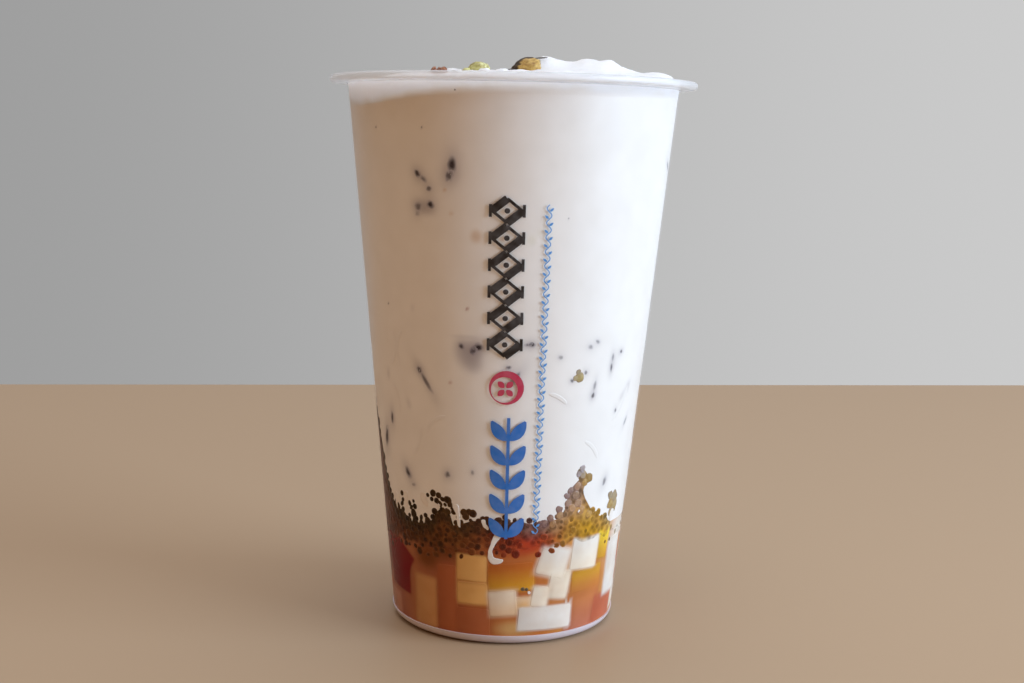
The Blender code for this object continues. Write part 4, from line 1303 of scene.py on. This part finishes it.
def make_seeds():
    """The swollen seeds, each with a dark kernel that fades into its gel."""
    draw = random.Random(SEED_SEED + 1)
    pile = Pile()
    points, faces = SMALL_BALL
    reach = np.hypot(points[:, 0], points[:, 1])
    for place, height in seed_places():
        below = max(float(seed_top(place)) - height, 0.0)
        angle = float(leaning(place, height))
        stretch = np.array([draw.uniform(*SEED_STRETCH), draw.uniform(*SEED_STRETCH), 1.0])
        shaped = points * np.array(SEED_HALF) * stretch * draw.uniform(*SEED_SIZES)
        shaped[:, 2] -= SEED_SUNK + draw.uniform(0, SEED_SUNK)
        gel = bed_colour(np.array(angle), np.array(height), np.array(below))
        gel = gel * draw.uniform(*SEED_TONES)
        kernel = gel * draw.uniform(*KERNEL_TONES)
        tone = mixed(kernel, gel, smooth((reach - 0.35) / 0.6))
        pile.add(on_wall(shaped, angle, height, draw.uniform(0, 180), SEED_LIFT), faces, tone)
    pile.piece("seeds", finish("seed"), "basil_seed")


def make_beads():
    """Beads of amber gel that have climbed into the milk, each with a duller rim and a painted
    highlight up and to its right.
    """
    pile = Pile()
    points, faces = BALL
    reach = np.hypot(points[:, 0], points[:, 1])
    # painted highlight up and to the right of each bead's middle
    spot = (points[:, 0] - GLINT_PLACE, points[:, 1] - GLINT_PLACE)
    glint = GLINT * blob(spot, GLINT_SPREAD, GLINT_SPREAD)
    for angle, height, radius, colour in BEADS:
        shaped = uneven(points * radius * MM, points, *BEAD_UNEVEN, angle)
        shaped[:, 2] -= radius * MM / 2
        fray = BEAD_FRAY * rough(points, BEAD_FRAY_SIZE, height)
        edge = BEAD_RIM * smooth((reach - BEAD_RIM_START + fray) / BEAD_BLEND)
        tone = mixed(mixed(colour, BEAD_RIM_COLOUR, edge), BEAD_GLINT_COLOUR, glint)
        pile.add(on_wall(shaped, angle, height * MM, 0, BEAD_LIFT), faces, tone)
    pile.piece("amber_beads", finish("amber_bead"), "basil_seed")


def cream_surface(x, y):
    """The cream's surface with the swells that show above its solid."""
    inward = smooth((1 - math.hypot(x, y) / inside_radius(CREAM_EDGE)) / SWELL_EDGE)
    swell = 0
    for swell_x, swell_y, spread, tall in CREAM_SWELLS:
        swell += tall * math.exp(-((x / MM - swell_x) ** 2 + (y / MM - swell_y) ** 2) / (2 * spread**2))
    return cream_height(x, y) + swell * inward * MM


def cream_ring(angles, reach):
    """One ring of the cream's surface, with finer lumps and pits away from its edge."""
    ring = polar(angles, reach * inside_radius(CREAM_EDGE), 0.0)
    ring[:, 2] = [cream_surface(x, y) for x, y, _ in ring]
    inner = float(smooth((1 - reach) / LUMP_EDGE))
    lumps = layered(ring, CREAM_LUMPS)
    pits = PIT_DEPTH * smooth((rough(ring, PIT_SIZE, PIT_SHIFT) - PIT_START) / PIT_BLEND)
    ring[:, 2] += inner * (lumps - pits)
    return ring


def make_cream():
    """The foam under the rim, which comes out of the milk bit by bit, and the lumpy cream over it."""
    angles = np.linspace(0, 360, CREAM_SECTORS, endpoint=False)
    low = foam_line(angles) - CREAM_BELOW_LINE
    edge = cream_ring(angles, 1.0)[:, 2]
    rings = [at_wall(angles, height, -CREAM_SKIRT_IN) for height in CREAM_SKIRT]
    for share in np.linspace(0, 1, FOAM_RINGS):
        lift = FOAM_BULGE * smooth(share / FOAM_BULGE_SHARE) - FOAM_SUNK
        rings.append(at_wall(angles, low + (edge - low) * share, lift))
    rings += [cream_ring(angles, reach) for reach in np.linspace(0.995, 0.004, CREAM_RINGS)]
    grid = np.stack(rings)
    look = finish("cream")
    look.scatter(look.tint("Alpha"), CREAM_SCATTER, CREAM_SCATTER_TONE)
    look.bump(*CREAM_GRAIN)
    colour = mixed(MILK_COLOUR, FOAM_COLOUR, foamy(*wall_place(grid), grid))
    glow = smooth((grid[..., 2] - low - GLOW_START) / GLOW_BLEND)[..., None]
    full = np.concatenate([colour, glow], axis=-1)
    closed_skin("cream", grid, CREAM_SKIRT[0], cream_surface(0, 0), full, look, "cream", "cream_top")


def on_cream(points, x, y, shown, turn, lean=(0, 0)):
    """Places a topping so that its middle lies a little above the cream's surface."""
    height = cream_height(x * MM, y * MM) + shown * MM
    roll, tip, spin = (math.radians(value) for value in (*lean, turn))
    matrix = Matrix.Rotation(spin, 3, "Z") @ Matrix.Rotation(tip, 3, "Y")
    matrix = matrix @ Matrix.Rotation(roll, 3, "X")
    return points @ np.array(matrix).T + np.array([x * MM, y * MM, height])


def grainy(points, roughness, grain, x, y):
    """A ball of half size, roughened by the solid's own noise."""
    shift = Vector((x, y, 0))
    swell = [1 + roughness * noise.noise(Vector(p) * grain + shift) for p in points * 0.5]
    return points * 0.5 * np.array(swell)[:, None]


def make_nuts():
    """Broken nuts: a golden kernel at the front of each, a thin dark skin behind and above it."""
    look = finish("nut")
    look.bump(0.0006, 0.0001)
    points, faces = FINE_BALL
    for number, (x, y, long, wide, thick, turn) in enumerate(NUT_PIECES):
        coarse = grainy(points, NUT_ROUGHNESS, NUT_GRAIN, x, y)
        coarse[:, 0] = np.minimum(coarse[:, 0], NUT_BREAK)
        coarse = uneven(coarse, coarse, 0.05, 0.12, number + 1)
        right, back, up = coarse.T
        ragged = 0.16 * rough(coarse, 0.16, 5.0)
        behind, broken = 0.75 * up + 0.85 * back - 0.35 * right - 0.18, 0.25 * up - right - 0.22
        skinned = np.maximum(behind, broken) + ragged
        patches = 0.8 * smooth((rough(coarse, 0.11, 2.0) - 0.08) / 0.25)
        kernel, skin = NUT_TONES[number]
        flesh = mixed(kernel, np.array(kernel) * NUT_PATCH_TONE, patches)
        size = np.array([long, wide, thick]) * MM
        placed = on_cream(coarse * size, x, y, thick * NUT_SHOWN + NUT_LIFT[number], turn, NUT_LEAN)
        tint = mixed(flesh, skin, smooth(skinned / 0.05))
        name = f"nut_{number + 1}"
        piece(name, placed, faces, look, [f"nut_piece_{number + 1}"], tint=tint)


def topping(x, y, extent, turn, shown=BIT_SHOWN):
    """A small rough topping of a given extent in mm."""
    points, faces = BALL
    coarse = uneven(grainy(points, BIT_ROUGHNESS, BIT_GRAIN, x, y), points, 0.10, 0.4, x)
    placed = on_cream(coarse * np.array(extent) * MM, x, y, extent[2] * shown, turn)
    return coarse, placed, faces


def make_bits():
    """Pistachio slivers, candied fruit and curds of cream."""
    pistachio, candied, curds = Pile(), Pile(), Pile()
    for x, y, long, turn in PISTACHIO_BITS:
        coarse, placed, faces = topping(x, y, (long, PISTACHIO_ACROSS, PISTACHIO_TALL), turn)
        # painted light: paler on top and towards one end, with some random variation
        lit = coarse[:, 2] + 0.3 * coarse[:, 0] + 0.25 * rough(coarse, 0.3, y) + 0.12
        pistachio.add(placed, faces, mixed(*PISTACHIO_SHADED_AND_LIT, smooth(lit / 0.3)))
    for x, y, long, turn in CANDIED_BITS:
        coarse, placed, faces = topping(x, y, (long * 1.15, long * 0.8, CANDIED_TALL * 0.85), turn)
        candied.add(placed, faces, mixed(*CANDIED_TONES, smooth((rough(coarse, 0.22, y) + 0.1) / 0.3)))
    for x, y, long, wide, tall, turn in CURDS:
        _, placed, faces = topping(x, y, (long, wide, tall), turn, CURD_SHOWN)
        curds.add(placed, faces, FOAM_COLOUR)
    pistachio.piece("pistachio", finish("pistachio"), "nut")
    candied.piece("candied_fruit", finish("candied_fruit"), "nut")
    curds.piece("cream_curds", finish("cream_curds"), "cream")


def make_crumbs():
    """A few crumbs behind, and flakes of nut skin at the front."""
    draw = random.Random(CRUMB_SEED)
    pile = Pile()
    points, faces = SMALL_BALL
    for _ in range(CRUMBS):
        x, y = polar(draw.uniform(*CRUMB_SIDE), draw.uniform(*CRUMB_REACH), 0)[:2] / MM
        size = draw.uniform(*CRUMB_SIZE)
        tone = draw.choice(CRUMB_TONES)
        shaped = uneven(points, points, 0.3, 0.7, x) * size * MM
        pile.add(on_cream(shaped, x, y, size * 0.4, 0), faces, tone)
    points, faces = BALL
    for x, y, height, long, turn in SKIN_FLAKES:
        size = np.array([long / 2, FLAKE_HALF_WIDE, FLAKE_HALF_THICK]) * MM
        flake = uneven(points * size, points, 0.3, 0.5, x)
        tipped = flake @ np.array(Matrix.Rotation(math.radians(turn), 3, "Y")).T
        pile.add(tipped + np.array([x, y, height]) * MM, faces, FLAKE_COLOUR)
    pile.piece("crumbs", finish("crumbs"), "nut")


def ink(name, colour):
    """A printing ink, a little uneven where it covers thinly."""
    look = Look(name, colour, 0.35, 0.3)
    pale = look.blend(0.10, colour, (0.8, 0.8, 0.82))
    look.colour(look.blend(look.ranged(look.noise(0.0022, 4.0), 0.35, 0.8), colour, pale))
    return look


def print_shape(pile, path, widths, angle, height, closed=False):
    """Adds one printed stroke, given in mm round a place on the wall."""
    points, faces = stroke(np.asarray(path) * MM, np.asarray(widths) * MM, PRINT_FILM, closed)
    lift = FILL_DEPTH + PRINT_GAP
    pile.add(on_wall(points, angle, height * MM, 0, lift, PRINT_FILM), faces)


def black_lozenges():
    """A chain of hollow lozenges with thick and thin sides."""
    pile = Pile()
    pitch = (BLACK_HIGH - BLACK_LOW) / BLACK_COUNT
    side, tip = PRINT_WIDTH / 2, pitch / 2 - LOZENGE_GAP
    corners = [(0, -tip), (side - THIN, 0), (0, tip), (THIN - side, 0), (0, -tip)]
    dot = np.linspace(-0.62, 0.62, 9)
    dot_widths = 2 * np.sqrt(np.maximum(LOZENGE_DOT**2 - dot**2, 0.01))
    for i in range(BLACK_COUNT):
        place = (BLACK_ANGLE, BLACK_LOW + pitch * (i + 0.5))
        for k, width in enumerate((THICK, THIN, THICK, THIN)):
            print_shape(pile, np.linspace(corners[k], corners[k + 1], 12), np.full(12, width), *place)
        for way in (-1, 1):
            bar = [(way * (side - THIN / 2), y) for y in np.linspace(-1.5, 1.5, 8)]
            print_shape(pile, bar, np.full(8, THIN), *place)
        print_shape(pile, [(0, y) for y in dot], dot_widths, *place)
    return pile


def pink_ring():
    """A ring of uneven width round four petals."""
    pile = Pile()
    turns = np.linspace(0, 2 * math.pi, 48, endpoint=False)
    ring = PINK_RADIUS * np.column_stack([np.cos(turns), np.sin(turns)])
    print_shape(pile, ring, 1.0 + 0.75 * np.cos(turns - 0.8), PINK_ANGLE, PINK_HEIGHT, closed=True)
    petal = np.linspace(0, 1, 14)
    for quarter in range(4):
        way = math.radians(45 + 90 * quarter)
        path = np.outer(0.4 + 2.1 * petal, (math.cos(way), math.sin(way)))
        print_shape(pile, path, 0.12 + 1.35 * np.sin(np.pi * petal) ** 0.8, PINK_ANGLE, PINK_HEIGHT)
    return pile


def blue_leaves():
    """Pairs of leaves on a stem."""
    pile = Pile()
    petal = np.linspace(0, 1, 14)
    pitch = (BLUE_HIGH - BLUE_LOW) / BLUE_COUNT
    stem = np.linspace(0, BLUE_HIGH - BLUE_LOW, 60)
    print_shape(pile, [(0, y) for y in stem], np.full(60, 0.8), BLUE_ANGLE, BLUE_LOW)
    for i in range(BLUE_COUNT):
        height = BLUE_LOW + pitch * (i + 0.12)
        for side in (-1, 1):
            path = [(side * 4.1 * t, 4.6 * t**1.6) for t in petal]
            print_shape(pile, path, 0.5 + 2.4 * np.sin(np.pi * petal**1.25) ** 0.9, BLUE_ANGLE, height)
    return pile


def fine_vine():
    """A fine waving vine with a small leaf in each bend."""
    pile = Pile()
    wave = np.linspace(0, 1, 17)
    leaf = np.linspace(0, 1, 8)
    height = VINE_LOW
    while height < VINE_HIGH:
        angle = VINE_ANGLE + VINE_TURN * (height - VINE_LOW)
        path = [(0.62 * math.sin(2 * math.pi * t), VINE_PITCH * t) for t in wave]
        print_shape(pile, path, np.full(17, 0.24), angle, height)
        for side, start in ((-1, 0.1), (1, VINE_PITCH / 2 + 0.1)):
            path = [(side * (0.1 + 0.9 * t), start + 0.8 * t) for t in leaf]
            print_shape(pile, path, 0.10 + 0.48 * np.sin(np.pi * leaf), angle, height)
        height += VINE_PITCH
    return pile


def make_print():
    """A generic ornament where the cup is printed."""
    motifs = {"black": black_lozenges, "pink": pink_ring, "blue": blue_leaves, "fine": fine_vine}
    for name, motif in motifs.items():
        motif().piece("print_" + name, ink(name + "_ink", INKS[name]), "clear_plastic", flat=True)


def make_table():
    """A plain pale table top that ends some way behind the cup."""
    side = TABLE_HALF_WIDTH
    corners = [(-side, TABLE_FRONT), (side, TABLE_FRONT)]
    corners += [(side, TABLE_BACK + TABLE_SKEW), (-side, TABLE_BACK - TABLE_SKEW)]
    points = [(x, y, z) for z in (0, -TABLE_THICKNESS) for x, y in corners]
    faces = [(0, 1, 2, 3), (7, 6, 5, 4), (0, 4, 5, 1), (1, 5, 6, 2), (2, 6, 7, 3), (3, 7, 4, 0)]
    mesh = bpy.data.meshes.new("table")
    mesh.from_pydata(points, [], faces)
    mesh.materials.append(Look("table", TABLE_COLOUR, 0.55).material)
    table = bpy.data.objects.new("table", mesh)
    bpy.context.scene.collection.objects.link(table)


def area_light(name, angle, distance, height, target, size, power, colour):
    """A square soft light that faces a height on the cup's axis."""
    light = bpy.data.lights.new(name, "AREA")
    light.shape = "SQUARE"
    light.size = size
    light.energy = power
    light.color = colour
    made = bpy.data.objects.new(name, light)
    bpy.context.scene.collection.objects.link(made)
    made.location = Vector(polar(angle, distance, height))
    made.rotation_euler = (Vector((0, 0, target)) - made.location).to_track_quat("-Z", "Y").to_euler()


def room_world():
    """A plain grey room, brighter to the right and above, dimmer and warmer before the cup."""
    world = bpy.data.worlds.new("room")
    room = Shading(world)
    parts = room.node("SeparateXYZ")
    room.link(room.node("TexCoord").outputs["Generated"], parts.inputs[0])
    colour = ROOM_COLOUR
    for axis, low, high, tone in ROOM_SIDES:
        share = room.ranged(parts.outputs[axis], low, high, way="SMOOTHSTEP")
        colour = room.blend(share, colour, tone)
    room.link(colour, room.tree.nodes["Background"].inputs["Color"])
    return world


def make_light():
    """Cool soft daylight from a window on the right, and a weak warm glow from the left."""
    scene = bpy.context.scene
    scene.view_settings.view_transform = "Standard"
    scene.world = room_world()
    for light in LIGHTS:
        area_light(*light)


def make_camera():
    """The photograph's view."""
    pitch, roll = math.radians(PITCH), math.radians(ROLL)
    ahead = Vector((0, math.cos(pitch), -math.sin(pitch)))
    level = Vector((1, 0, 0))
    upright = level.cross(ahead)
    right = math.cos(roll) * level + math.sin(roll) * upright
    up = math.cos(roll) * upright - math.sin(roll) * level
    camera = bpy.data.objects.new("camera", bpy.data.cameras.new("camera"))
    bpy.context.scene.collection.objects.link(camera)
    camera.data.sensor_width = SENSOR
    camera.data.lens = SENSOR * FOCAL_PIXELS / IMAGE_PIXELS
    camera.data.clip_start = 0.01
    turned = Matrix((right, up, -ahead)).transposed().to_4x4()
    camera.matrix_world = Matrix.Translation(EYE) @ turned
    bpy.context.scene.camera = camera


make_camera()
make_table()
make_light()
make_cup()
make_milk()
make_milk_runs()
make_shreds()
make_noodles()
make_jelly()
make_seed_bed()
make_seeds()
make_beads()
make_cream()
make_nuts()
make_bits()
make_crumbs()
make_print()
